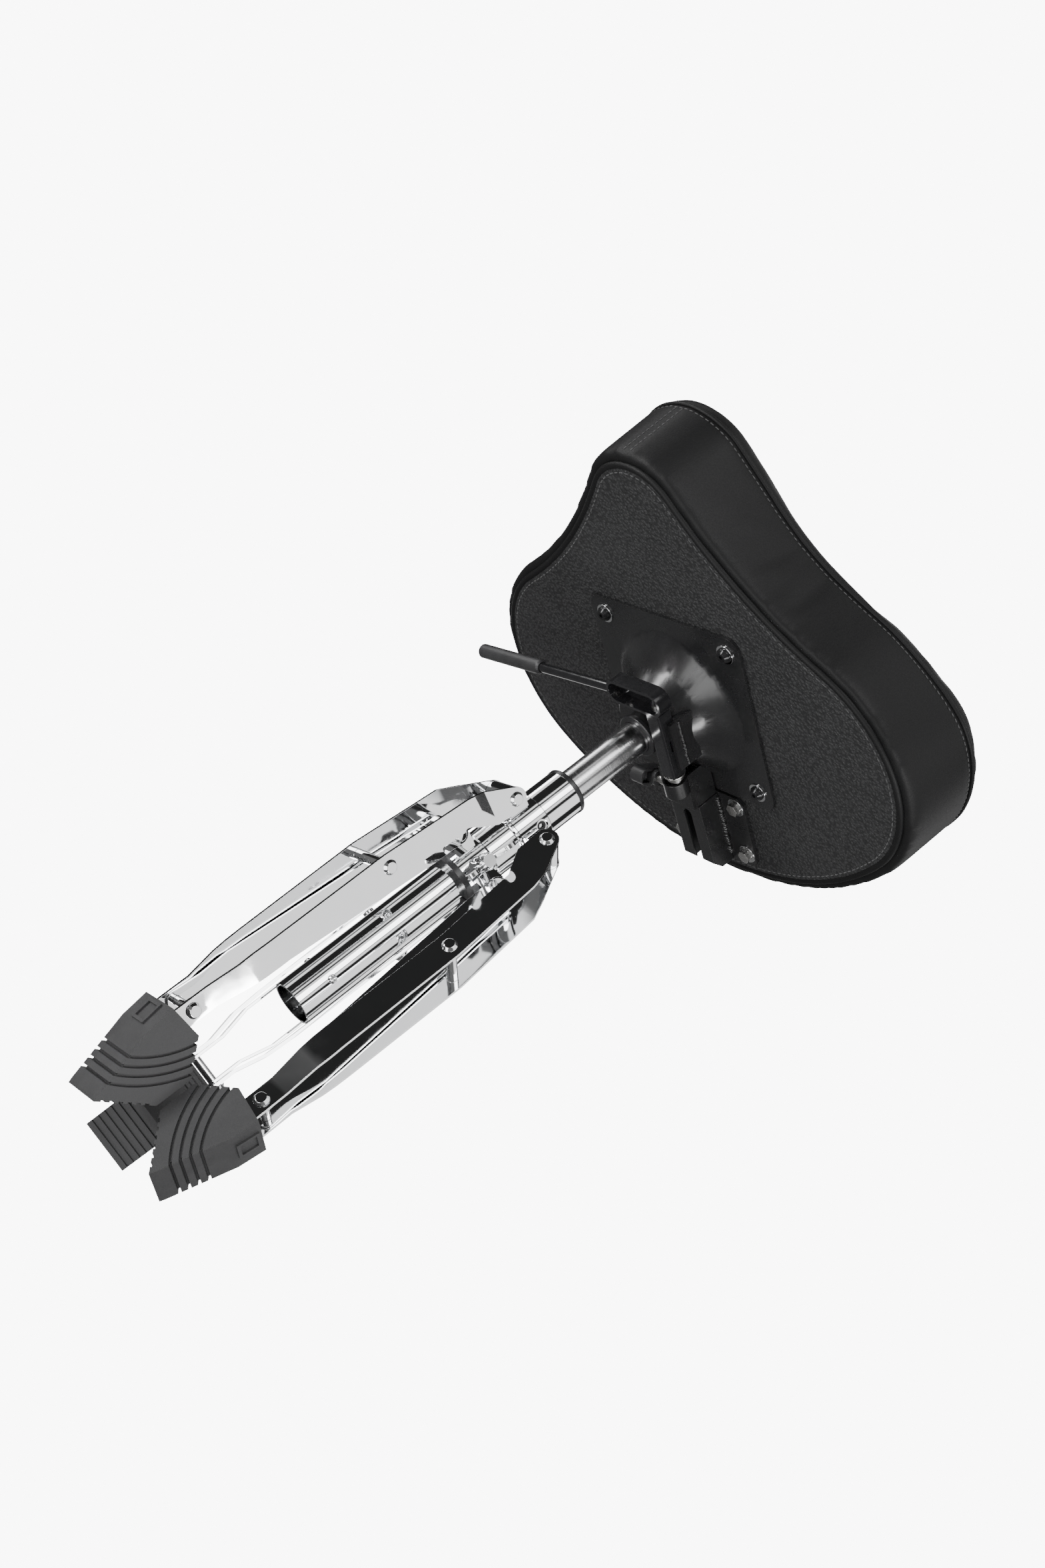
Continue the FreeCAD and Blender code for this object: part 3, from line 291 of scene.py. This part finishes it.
def smooth_cover():
    """Fine-grained black cover on the seat's walls and top."""
    material, graph, place, shader = finish(
        "smooth_cover", (0.005, 0.005, 0.0055), 0.46, specular=0.24)
    grain = graph.node("TexVoronoi", {"feature": "SMOOTH_F1"}, {
        "Vector": place, "Scale": 900.0, "Smoothness": 0.7})
    creases = noise(graph, place, 34.0, 5.0, 0.6, stretch=(1.0, 1.0, 0.45))
    cloud = noise(graph, place, 9.0, 3.0)
    feed(graph, shader, "Base Color", shade_between(
        graph, cloud, (0.0028, 0.0028, 0.0030), (0.0070, 0.0070, 0.0074)))
    feed(graph, shader, "Roughness", 0.42 + grain * 0.12 + cloud * 0.10)
    fine = bump(graph, shader, 1.0 - grain, 0.22, 0.00035)
    bump(graph, shader, creases, 0.16, 0.0022, fine)
    return material


def zinc_plate():
    material, graph, place, shader = finish(
        "zinc_plate", (0.68, 0.675, 0.65), 0.26, metallic=1.0)
    spangle = noise(graph, place, 260.0, 3.0)
    feed(graph, shader, "Roughness", 0.16 + spangle * 0.22)
    feed(graph, shader, "Base Color", shade_between(
        graph, spangle, (0.52, 0.52, 0.50), (0.80, 0.79, 0.77)))
    bump(graph, shader, spangle, 0.12, 0.0003)
    return material


def black_oxide():
    material, graph, place, shader = finish(
        "black_oxide", (0.02, 0.02, 0.021), 0.2, metallic=0.6)
    stain = noise(graph, place, 300.0, 3.0)
    feed(graph, shader, "Roughness", 0.12 + stain * 0.2)
    feed(graph, shader, "Base Color", shade_between(
        graph, stain, (0.012, 0.012, 0.013), (0.035, 0.035, 0.036)))
    bump(graph, shader, stain, 0.08, 0.0002)
    return material


def ground_steel():
    material, graph, place, shader = finish(
        "ground_steel", (0.55, 0.55, 0.55), 0.3, metallic=1.0)
    lines = noise(graph, place, 80.0, 3.0, stretch=(1.0, 1.0, 20.0))
    feed(graph, shader, "Roughness", 0.2 + lines * 0.2)
    feed(graph, shader, "Base Color", shade_between(
        graph, lines, (0.42, 0.42, 0.42), (0.62, 0.62, 0.62)))
    bump(graph, shader, lines, 0.15, 0.0002)
    return material


def birch_board():
    material, graph, place, shader = finish("birch_board", (0.55, 0.40, 0.24), 0.7)
    layers = graph.node("TexWave", {"bands_direction": "Z"}, {
        "Vector": place, "Scale": 180.0, "Distortion": 0.6, "Detail": 2.0})
    figure = noise(graph, place, 22.0, 4.0, stretch=(1.0, 6.0, 1.0))
    feed(graph, shader, "Base Color", shade_between(
        graph, layers * 0.6 + figure * 0.4, (0.36, 0.24, 0.13), (0.68, 0.52, 0.34)))
    feed(graph, shader, "Roughness", 0.6 + figure * 0.2)
    bump(graph, shader, figure, 0.2, 0.0004)
    return material


def waxed_thread():
    material, graph, place, shader = finish("waxed_thread", (0.05, 0.05, 0.052), 0.55, sheen=0.3)
    twist = graph.node("TexWave", {"bands_direction": "DIAGONAL"}, {
        "Vector": place, "Scale": 900.0, "Distortion": 1.0})
    feed(graph, shader, "Base Color", shade_between(
        graph, twist, (0.016, 0.016, 0.017), (0.045, 0.045, 0.046)))
    feed(graph, shader, "Roughness", 0.45 + twist * 0.2)
    bump(graph, shader, twist, 0.3, 0.0002)
    return material


FINISHES = {
    "chrome_tube": mirror_chrome(), "satin_chrome": brushed_shaft(), "black_steel": satin_black(),
    "black_gloss": gloss_black(), "rubber": boot_rubber(), "nylon": moulded_nylon(),
    "grip": dipped_grip(), "vinyl_panel": pebbled_panel(), "plywood": birch_board(),
    "zinc": zinc_plate(), "black_screw": black_oxide(), "steel": ground_steel(),
    "cushion": smooth_cover(),
}
THREAD = waxed_thread()
SLOT_OF = {part["node"]: part["material_slot"] for part in frame["record"]["subparts"]}

# ------------------------------------------------------------------ carried-over parts

# how wide the edges of each material are rounded, in mm
EDGE_WIDTH = {"rubber": 1.1, "black_steel": 0.5, "black_gloss": 0.6, "chrome_tube": 0.3,
              "grip": 0.8, "zinc": 0.3, "black_screw": 0.4, "nylon": 0.3}
PLAIN_EDGES = {"lower_tube", "upper_tube", "gas_shaft", "hub_skirt", "seat_cushion"}
FLAT_ANGLE = math.radians(0.8)
ROUNDED_ANGLE = math.radians(38)
CRISP_ANGLE = math.radians(32)
FACE_WEIGHT = 60

for name, part in NODES.items():
    slot_name = SLOT_OF[name]
    part.data.materials.clear()
    part.data.materials.append(FINISHES[slot_name])
    part.data.shade_smooth()
    part.modifiers.new("join", "WELD").merge_threshold = SAME_POINT
    flats = part.modifiers.new("flats", "DECIMATE")
    flats.decimate_type = "DISSOLVE"
    flats.angle_limit = FLAT_ANGLE
    if slot_name in EDGE_WIDTH and name not in PLAIN_EDGES:
        softened = part.modifiers.new("softened", "BEVEL")
        softened.width = EDGE_WIDTH[slot_name] * MM
        softened.segments = 3 if slot_name == "rubber" else 2
        softened.limit_method = "ANGLE"
        softened.angle_limit = ROUNDED_ANGLE
        softened.use_clamp_overlap = True
    else:
        crisp = part.modifiers.new("crisp", "EDGE_SPLIT")
        crisp.split_angle = CRISP_ANGLE
    level = part.modifiers.new("level", "WEIGHTED_NORMAL")
    level.keep_sharp = False
    level.weight = FACE_WEIGHT


# ------------------------------------------------------------------ helpers for new pieces


def piece(name, work, material, body):
    """Turn a worked mesh into a piece that rides on a body."""
    mesh = bpy.data.meshes.new(name)
    work.to_mesh(mesh)
    work.free()
    made = bpy.data.objects.new(name, mesh)
    scene.collection.objects.link(made)
    mesh.materials.append(material)
    mesh.shade_smooth()
    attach(made, body)
    return made


def applied(made):
    """Fix a piece's modifiers into its mesh."""
    bpy.context.view_layer.update()
    graph = bpy.context.evaluated_depsgraph_get()
    mesh = bpy.data.meshes.new_from_object(made.evaluated_get(graph))
    made.modifiers.clear()
    old = made.data
    made.data = mesh
    bpy.data.meshes.remove(old)


def welded_copy(name):
    """A carried-over part's mesh with the corners that lie on one another joined."""
    work = bmesh.new()
    work.from_mesh(NODES[name].data)
    bmesh.ops.remove_doubles(work, verts=work.verts, dist=SAME_POINT)
    return work


LOOP_CLOSED = 0.001 * MM


def outline_at(name, height):
    """The longest loop in which a level plane cuts a part, as points in order."""
    work = welded_copy(name)
    bmesh.ops.bisect_plane(work, geom=work.verts[:] + work.edges[:] + work.faces[:],
                           plane_co=(0, 0, height), plane_no=(0, 0, 1),
                           clear_inner=True, clear_outer=True)
    loops, left = [], dict.fromkeys(work.edges)
    while left:
        edge = next(iter(left))
        del left[edge]
        chain = [edge.verts[0], edge.verts[1]]
        grown = True
        while grown:
            grown = False
            for following in chain[-1].link_edges:
                if following in left:
                    del left[following]
                    chain.append(following.other_vert(chain[-1]))
                    grown = True
                    break
        loops.append([vert.co.copy() for vert in chain])
    work.free()
    longest = max(loops, key=lambda loop: sum((a - b).length for a, b in zip(loop, loop[1:])))
    if (longest[0] - longest[-1]).length < LOOP_CLOSED:
        longest = longest[:-1]
    area = sum(a.x * b.y - b.x * a.y for a, b in zip(longest, longest[1:] + longest[:1]))
    return longest if area > 0 else longest[::-1]


def evenly(points, step):
    """Points at equal steps along a closed loop."""
    closed = points + points[:1]
    total = sum((a - b).length for a, b in zip(closed, closed[1:]))
    count = max(8, round(total / step))
    gap = total / count
    out = []
    run = 0.0
    target = 0.0
    for a, b in zip(closed, closed[1:]):
        length = (b - a).length
        while target < run + length and len(out) < count:
            out.append(a.lerp(b, (target - run) / length))
            target += gap
        run += length
    return out


def outward(points):
    """The level outward direction at each point of an anticlockwise loop."""
    found = []
    for index, point in enumerate(points):
        ahead = points[(index + 2) % len(points)] - points[index - 2]
        found.append(Vector((ahead.y, -ahead.x, 0)).normalized())
    return found


def cord_of(name, points, radius):
    """A closed round cord of the cover's material through points, made as a mesh."""
    curve = bpy.data.curves.new(name, "CURVE")
    curve.dimensions = "3D"
    curve.bevel_depth = radius
    curve.bevel_resolution = 3
    spline = curve.splines.new("POLY")
    spline.points.add(len(points) - 1)
    for knot, point in zip(spline.points, points):
        knot.co = (*point, 1)
    spline.use_cyclic_u = True
    holder = bpy.data.objects.new(name + "_path", curve)
    scene.collection.objects.link(holder)
    bpy.context.view_layer.update()
    mesh = bpy.data.meshes.new_from_object(
        holder.evaluated_get(bpy.context.evaluated_depsgraph_get()))
    bpy.data.objects.remove(holder)
    work = bmesh.new()
    work.from_mesh(mesh)
    bpy.data.meshes.remove(mesh)
    piece(name, work, FINISHES["cushion"], "seat")


def stitches(name, places, size):
    """One short rounded stitch at each place, given as point, direction along and face normal."""
    work = bmesh.new()
    for point, along, normal in places:
        side = normal.cross(along).normalized()
        turn = Matrix((along, side, normal)).transposed().to_4x4()
        stretch = Matrix.Diagonal((*size, 1))
        bmesh.ops.create_icosphere(work, subdivisions=2, radius=1,
                                   matrix=Matrix.Translation(point) @ turn @ stretch)
    piece(name, work, THREAD, "seat")


# ------------------------------------------------------------------ seat cover

PANEL_CUT = SEAT_PLANE + 1 * MM
PANEL_STEP = 6 * MM
WALL_CUT = SEAT_PLANE + 40 * MM
WALL_STEP = 5 * MM
PANEL_EDGE = evenly(outline_at("seat_panel", PANEL_CUT), PANEL_STEP)
WALL = evenly(outline_at("seat_cushion", WALL_CUT), WALL_STEP)
WALL_OUT = outward(WALL)
THICK = SEAT_TOP - SEAT_PLANE
SEAM_HEIGHT = SEAT_TOP - 17 * MM
NOSE_Y = cushion_high.y

# where each part of the wall begins and is complete, in metres sideways or forwards of the column
WAIST_SIDE = (0.045, 0.085)
WAIST_START = (0.0, 0.07)
WAIST_END = (0.11, 0.185)
NOSE_START = (0.135, 0.215)
NOSE_EDGE = (0.012, 0.05)
LOBE_SIDE = (0.14, 0.215)
LOBE_END = (-0.02, 0.05)

# how far the top of each part of the wall leans, in metres
WAIST_IN = 0.0095
WAIST_BACK = 0.0040
NOSE_FORWARD = 0.0065
NOSE_OUT = 0.0030
LOBE_OUT = 0.0035

VOXEL = 5 * MM
SMOOTHINGS = 3
DOWNWARD = -0.5  # upward part of the normal of a face that looks down
NOT_UPWARD = 0.2

# where the cover is held while it fills, and how far it may swell
RIM_HEIGHT = 3 * MM
UNDERSIDE_HEIGHT = 20 * MM
PANEL_SIDE = 0.2
PANEL_HEIGHT = 18 * MM
PANEL_REACH = 9 * MM
SEAM_REACH = 3.2 * MM
SEAM_HOLD = 0.85
BODY_CAP = 4.5 * MM
TOP_CAP = 5.5 * MM
LAST_FRAME = 20

# the sewn grooves: they are cut only where the wall stands upright and above the rim
SEW_WIDTH = 3.0 * MM
SEAM_DEPTH = 1.6 * MM
NOSE_SEAM_DEPTH = 1.3 * MM
UPRIGHT = 0.6
SEW_LOW = 6 * MM
NOSE_LENGTH = 0.05


def eased(low, high, value):
    """0 below low, 1 above high, smooth between."""
    share = min(1.0, max(0.0, (value - low) / (high - low)))
    return share * share * (3 - 2 * share)


def cover_shape(co):
    """Where a point of the plain cushion goes so that the walls lean as the padding makes them."""
    rise = min(1.0, max(0.0, (co.z - SEAT_PLANE) / THICK))
    side = abs(co.x)
    y = co.y - COLUMN_Y
    waist = eased(*WAIST_SIDE, side) * eased(*WAIST_START, y) * (1 - eased(*WAIST_END, y))
    nose = eased(*NOSE_START, y)
    lobe = eased(*LOBE_SIDE, side) * (1 - eased(*LOBE_END, y))
    away = math.copysign(1, co.x)
    lean = Vector((0, 0, 0))
    lean.x -= away * WAIST_IN * waist * rise
    lean.y -= WAIST_BACK * waist * rise
    lean.y += NOSE_FORWARD * nose * rise
    lean.x += away * NOSE_OUT * nose * rise * eased(*NOSE_EDGE, side)
    lean.x += away * LOBE_OUT * lobe * rise
    return co + lean


def held_weight(vert):
    """How firmly a point of the cover is held: at the panel, at the underside and at the seam."""
    height = vert.co.z - SEAT_PLANE
    faces_down = vert.normal.z < DOWNWARD and height < UNDERSIDE_HEIGHT
    weight = 1.0 if height < RIM_HEIGHT or faces_down else 0.0
    inside = abs(vert.co.x) < PANEL_SIDE and height < PANEL_HEIGHT and vert.normal.z < NOT_UPWARD
    if inside and min((vert.co - edge).xy.length for edge in PANEL_EDGE[::2]) < PANEL_REACH:
        weight = 1.0
    if abs(vert.co.z - SEAM_HEIGHT) < SEAM_REACH:
        weight = max(weight, SEAM_HOLD)
    return weight


def fill(cover):
    """Let the padding press the cover out as cloth, no point further than its cap."""
    rest = [vert.co.copy() for vert in cover.data.vertices]
    held = cover.vertex_groups.new(name="held")
    for vert in cover.data.vertices:
        weight = held_weight(vert)
        if weight:
            held.add([vert.index], weight, "REPLACE")
    cloth = cover.modifiers.new("filling", "CLOTH")
    settings = cloth.settings
    settings.quality = 5
    settings.mass = 0.3
    settings.tension_stiffness = 30
    settings.compression_stiffness = 30
    settings.shear_stiffness = 12
    settings.bending_stiffness = 3
    settings.use_pressure = True
    settings.uniform_pressure_force = 4
    settings.vertex_group_mass = "held"
    settings.effector_weights.gravity = 0
    cloth.collision_settings.use_collision = False
    cloth.collision_settings.use_self_collision = False
    cloth.point_cache.frame_start = 1
    cloth.point_cache.frame_end = LAST_FRAME
    for number in range(1, LAST_FRAME + 1):
        scene.frame_set(number)
    applied(cover)
    scene.frame_set(1)
    for vert, start in zip(cover.data.vertices, rest):
        moved = vert.co - start
        cap = TOP_CAP if start.z > SEAM_HEIGHT else BODY_CAP
        if moved.length > cap:
            vert.co = start + moved * (cap / moved.length)


def draw_in(mesh):
    """Sew the cover in: a groove under the top piping and one down the wall at the nose."""
    work = bmesh.new()
    work.from_mesh(mesh)
    bmesh.ops.smooth_vert(work, verts=work.verts, factor=0.4,
                          use_axis_x=True, use_axis_y=True, use_axis_z=True)
    work.normal_update()
    for vert in work.verts:
        pull = SEAM_DEPTH * math.exp(-((vert.co.z - SEAM_HEIGHT) / SEW_WIDTH) ** 2)
        level = Vector((vert.normal.x, vert.normal.y, 0))
        if level.length > UPRIGHT and vert.co.z - SEAT_PLANE > SEW_LOW:
            if vert.co.y > NOSE_Y - NOSE_LENGTH and vert.co.z < SEAM_HEIGHT:
                pull = max(pull, NOSE_SEAM_DEPTH * math.exp(-(vert.co.x / SEW_WIDTH) ** 2))
            vert.co -= level.normalized() * pull
    work.to_mesh(mesh)
    work.free()


def seat_cover():
    """The padded cover that takes the place of the plain cushion."""
    cover = piece("seat_cover", welded_copy("seat_cushion"), FINISHES["cushion"], "seat")
    remade = cover.modifiers.new("remade", "REMESH")
    remade.mode = "VOXEL"
    remade.voxel_size = VOXEL
    applied(cover)
    work = bmesh.new()
    work.from_mesh(cover.data)
    for _ in range(SMOOTHINGS):
        bmesh.ops.smooth_vert(work, verts=work.verts, factor=0.5,
                              use_axis_x=True, use_axis_y=True, use_axis_z=True)
    for vert in work.verts:
        vert.co = cover_shape(vert.co)
    work.to_mesh(cover.data)
    work.free()
    fill(cover)
    draw_in(cover.data)
    rounded = cover.modifiers.new("rounded", "SUBSURF")
    rounded.levels = 1
    rounded.render_levels = 1
    cover.data.shade_smooth()
    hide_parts("seat_cushion")
    return cover


cover = seat_cover()
finished_cover = cover.evaluated_get(bpy.context.evaluated_depsgraph_get()).to_mesh()
surface = BVHTree.FromPolygons([vert.co.copy() for vert in finished_cover.vertices],
                               [tuple(face.vertices) for face in finished_cover.polygons])


RAY_START = 0.05


def on_wall(point, out, height, lift):
    """The point of the cover that a level ray from outside meets, lifted off it, and its normal."""
    start = Vector((point.x, point.y, height)) + out * RAY_START
    hit, normal, _, _ = surface.ray_cast(start, -out)
    if hit is None:
        hit, normal = Vector((point.x, point.y, height)), out
    return hit + out * lift, normal


def run_of(loop, index):
    """The direction of a closed loop at one of its points."""
    return (loop[(index + 1) % len(loop)] - loop[index - 1]).normalized()


PIPING_RADIUS = 1.9 * MM
PIPING_LIFT = 0.4 * MM
STITCH_LIFT = 0.1 * MM
TOP_STITCH_DROP = 5.2 * MM
TOP_STITCH = (1.9 * MM, 0.45 * MM, 0.4 * MM)
NOSE_STITCH = (1.8 * MM, 0.45 * MM, 0.4 * MM)
NOSE_STITCHES = 12
NOSE_FIRST = 9
NOSE_GAP = 5.0
NOSE_SIDE = 3.6 * MM

piping_path = [on_wall(point, out, SEAM_HEIGHT, PIPING_LIFT)[0] for point, out in zip(WALL, WALL_OUT)]
cord_of("seat_piping", piping_path, PIPING_RADIUS)

wall_stitches = []
for index, (point, out) in enumerate(zip(WALL, WALL_OUT)):
    hit, normal = on_wall(point, out, SEAM_HEIGHT - TOP_STITCH_DROP, STITCH_LIFT)
    wall_stitches.append((hit, run_of(WALL, index), normal))
stitches("top_stitches", wall_stitches, TOP_STITCH)

nose_stitches = []
for side in (-1, 1):
    for step in range(NOSE_STITCHES):
        height = SEAT_PLANE + (NOSE_FIRST + step * NOSE_GAP) * MM
        hit, normal = on_wall(Vector((side * NOSE_SIDE, NOSE_Y - 10 * MM, 0)), Vector((0, 1, 0)),
                              height, STITCH_LIFT)
        along = normal.cross(Vector((1, 0, 0))).normalized()
        nose_stitches.append((hit, along, normal))
stitches("nose_stitches", nose_stitches, NOSE_STITCH)

# the sewn rim of the panel: a narrow welt over its edge and the seam's stitches beside it
WELT_RADIUS = 3.1 * MM
WELT_OUT = 2.3 * MM
WELT_RISE = 2.1 * MM
PANEL_STITCH = (2.2 * MM, 0.5 * MM, 0.4 * MM)
PANEL_STITCH_GAP = 6.4 * MM
PANEL_STITCH_IN = 3.2 * MM
PANEL_STITCH_DROP = 0.05 * MM

welt_path = [point + out * WELT_OUT for point, out in zip(PANEL_EDGE, outward(PANEL_EDGE))]
welt_path = [Vector((point.x, point.y, SEAT_PLANE + WELT_RISE)) for point in welt_path]
cord_of("panel_welt", welt_path, WELT_RADIUS)

under_stitches = []
SEAM = evenly(PANEL_EDGE, PANEL_STITCH_GAP)
for index, (point, out) in enumerate(zip(SEAM, outward(SEAM))):
    place = point - out * PANEL_STITCH_IN
    under_stitches.append((Vector((place.x, place.y, SEAT_PLANE - PANEL_STITCH_DROP)),
                           run_of(SEAM, index), Vector((0, 0, -1))))
stitches("panel_stitches", under_stitches, PANEL_STITCH)

# ------------------------------------------------------------------ weld beads


BLOB_STEP = 0.9
BLOB_WANDER = 0.25
BLOB_SIZE = (0.85, 1.2)
BLOB_WIDTH = 0.8
BLOB_HEIGHT = 0.85


def weld_bead(name, start, end, radius):
    """A rough overlapping run of weld metal between two points."""
    work = bmesh.new()
    run = end - start
    count = max(4, int(run.length / (radius * BLOB_STEP)))
    turn = Vector((0, 1, 0)).rotation_difference(run.normalized()).to_matrix().to_4x4()
    for index in range(count + 1):
        wander = Vector([random.uniform(-BLOB_WANDER, BLOB_WANDER) * radius for _ in range(3)])
        size = radius * random.uniform(*BLOB_SIZE)
        where = start + run * (index / count) + wander
        shape = Matrix.Diagonal((size, size * BLOB_WIDTH, size * BLOB_HEIGHT, 1))
        bmesh.ops.create_icosphere(work, subdivisions=2, radius=1,
                                   matrix=Matrix.Translation(where) @ turn @ shape)
    piece(name, work, FINISHES["black_steel"], "seat")


CHANNEL_BEAD = 2.3 * MM
BRACKET_BEAD = 1.5 * MM

channel_low, channel_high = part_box("receiver_channel")
bead_height = channel_high.z - 1 * MM
for side, tag in ((channel_low.x, "left"), (channel_high.x, "right")):
    weld_bead("channel_weld_" + tag, Vector((side, channel_high.y - 4 * MM, bead_height)),
              Vector((side, channel_low.y + 8 * MM, bead_height)), CHANNEL_BEAD)
block_low, block_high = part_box("barrel_block")
bead_side = block_low.x - 0.2 * MM
bead_height = block_low.z + 9 * MM
weld_bead("bracket_weld", Vector((bead_side, block_high.y - 2 * MM, bead_height)),
          Vector((bead_side, block_low.y + 2 * MM, bead_height)), BRACKET_BEAD)

# ------------------------------------------------------------------ stage, light and camera


def level_sheet(name, centre, size, material):
    """A flat square of the stage, facing up."""
    work = bmesh.new()
    bmesh.ops.create_grid(work, x_segments=1, y_segments=1, size=0.5,
                          matrix=Matrix.Translation(centre) @ Matrix.Diagonal((size, size, 1, 1)))
    mesh = bpy.data.meshes.new(name)
    work.to_mesh(mesh)
    work.free()
    made = bpy.data.objects.new(name, mesh)
    mesh.materials.append(material)
    scene.collection.objects.link(made)
    return made


FLOOR_SIZE = 7
floor_material = bpy.data.materials.new("pale_floor")
floor_material.use_nodes = True
floor_graph = Graph(floor_material.node_tree)
seen = floor_graph.node("NewGeometry", output="Backfacing")
pale = floor_graph.node("BsdfDiffuse", {}, {"Color": (0.86, 0.86, 0.86, 1)})
through = floor_graph.node("BsdfTransparent")
floor_mix = floor_graph.node("MixShader", {}, {0: seen, 1: pale, 2: through})
floor_graph.node("OutputMaterial", {}, {0: floor_mix})
floor = level_sheet("floor", Vector((0, 0, -1 * MM)), FLOOR_SIZE, floor_material)
floor.visible_shadow = False
floor.visible_glossy = False


def lamp(name, place, target, size, power):
    """A rectangular lamp at a place, aimed at a target."""
    light = bpy.data.lights.new(name, "AREA")
    light.shape = "RECTANGLE"
    light.size, light.size_y = size
    light.energy = power
    holder = bpy.data.objects.new(name, light)
    scene.collection.objects.link(holder)
    holder.location = place
    holder.rotation_euler = (Vector(target) - Vector(place)).to_track_quat("-Z", "Y").to_euler()


lamp("key", (-1.9, 1.6, 0.9), (0, 0, 0.5), (0.9, 1.6), 24)
lamp("under", (-0.5, 0.7, -1.5), (0, 0, 0.55), (1.5, 1.5), 26)
lamp("rim", (1.6, 1.5, 0.8), (0, 0, 0.45), (0.5, 1.6), 14)
lamp("nose_strip", (0.55, 1.7, -0.35), (0, 0, 0.55), (0.35, 1.3), 30)
lamp("side_strip", (-1.7, -0.75, -0.25), (0, 0, 0.55), (0.35, 1.3), 24)

# the surroundings: a bright band above the horizon with dark flags in it, dim below, and a
# plain pale background where the camera looks past the object
FLAGS = ((84, 21), (116, 4), (150, 4), (171, 7), (-122, 16), (-68, 12), (8, 28))
FLAG_DEPTH = 0.985
HIGH_BRIGHTNESS = 1.45
LOW_BRIGHTNESS = 0.16
BACKGROUND_BRIGHTNESS = 9.0
HORIZON = 0.03
HORIZON_SOFTNESS = 0.07

world = bpy.data.worlds.new("studio")
scene.world = world
world.use_nodes = True
sky = Graph(world.node_tree)
towards = sky.node("TexCoord", output="Generated")
x_part = sky.node("SeparateXYZ", {}, {0: towards})
y_part = Value(sky, x_part.socket.node.outputs[1])
z_part = Value(sky, x_part.socket.node.outputs[2])
heading = sky.node("Math", {"operation": "ARCTAN2"}, {0: y_part, 1: x_part}) / math.radians(1)


def flag(centre, half, soft=2.0):
    """1 inside a band of compass directions round the object, in degrees."""
    apart = (heading - centre).math("ABSOLUTE")
    apart = apart.math("MINIMUM", 360.0 - apart)
    return 1.0 - apart.above(half, soft)


dark = flag(*FLAGS[0])
for centre, half in FLAGS[1:]:
    dark = dark.math("MAXIMUM", flag(centre, half))
high = z_part.above(HORIZON, HORIZON_SOFTNESS)
shade = high * (1.0 - dark * FLAG_DEPTH) * HIGH_BRIGHTNESS + (1.0 - high) * LOW_BRIGHTNESS
camera_ray = sky.node("LightPath", output="Is Camera Ray")
shown = sky.node("Background", {}, {"Color": (1, 1, 1, 1), "Strength": BACKGROUND_BRIGHTNESS})
lit = sky.node("Background", {}, {"Color": sky.node("CombineColor", {}, {
    0: shade, 1: shade, 2: shade}), "Strength": 1.0})
sky.node("OutputWorld", {}, {0: sky.node("MixShader", {}, {0: camera_ray, 1: lit, 2: shown})})

CAMERA_PLACE = Vector((-0.973, 0.7985, -0.1804))
CAMERA_TURN = (math.radians(127.43), math.radians(-46.21), math.radians(-157.92))
SENSOR_HEIGHT = 36
FOCAL_LENGTH = 41.3
lens = bpy.data.cameras.new("camera")
lens.sensor_fit = "VERTICAL"
lens.sensor_height = SENSOR_HEIGHT
lens.lens = FOCAL_LENGTH
lens.clip_start = 0.01
camera = bpy.data.objects.new("camera", lens)
scene.collection.objects.link(camera)
camera.location = CAMERA_PLACE
camera.rotation_euler = CAMERA_TURN
scene.camera = camera
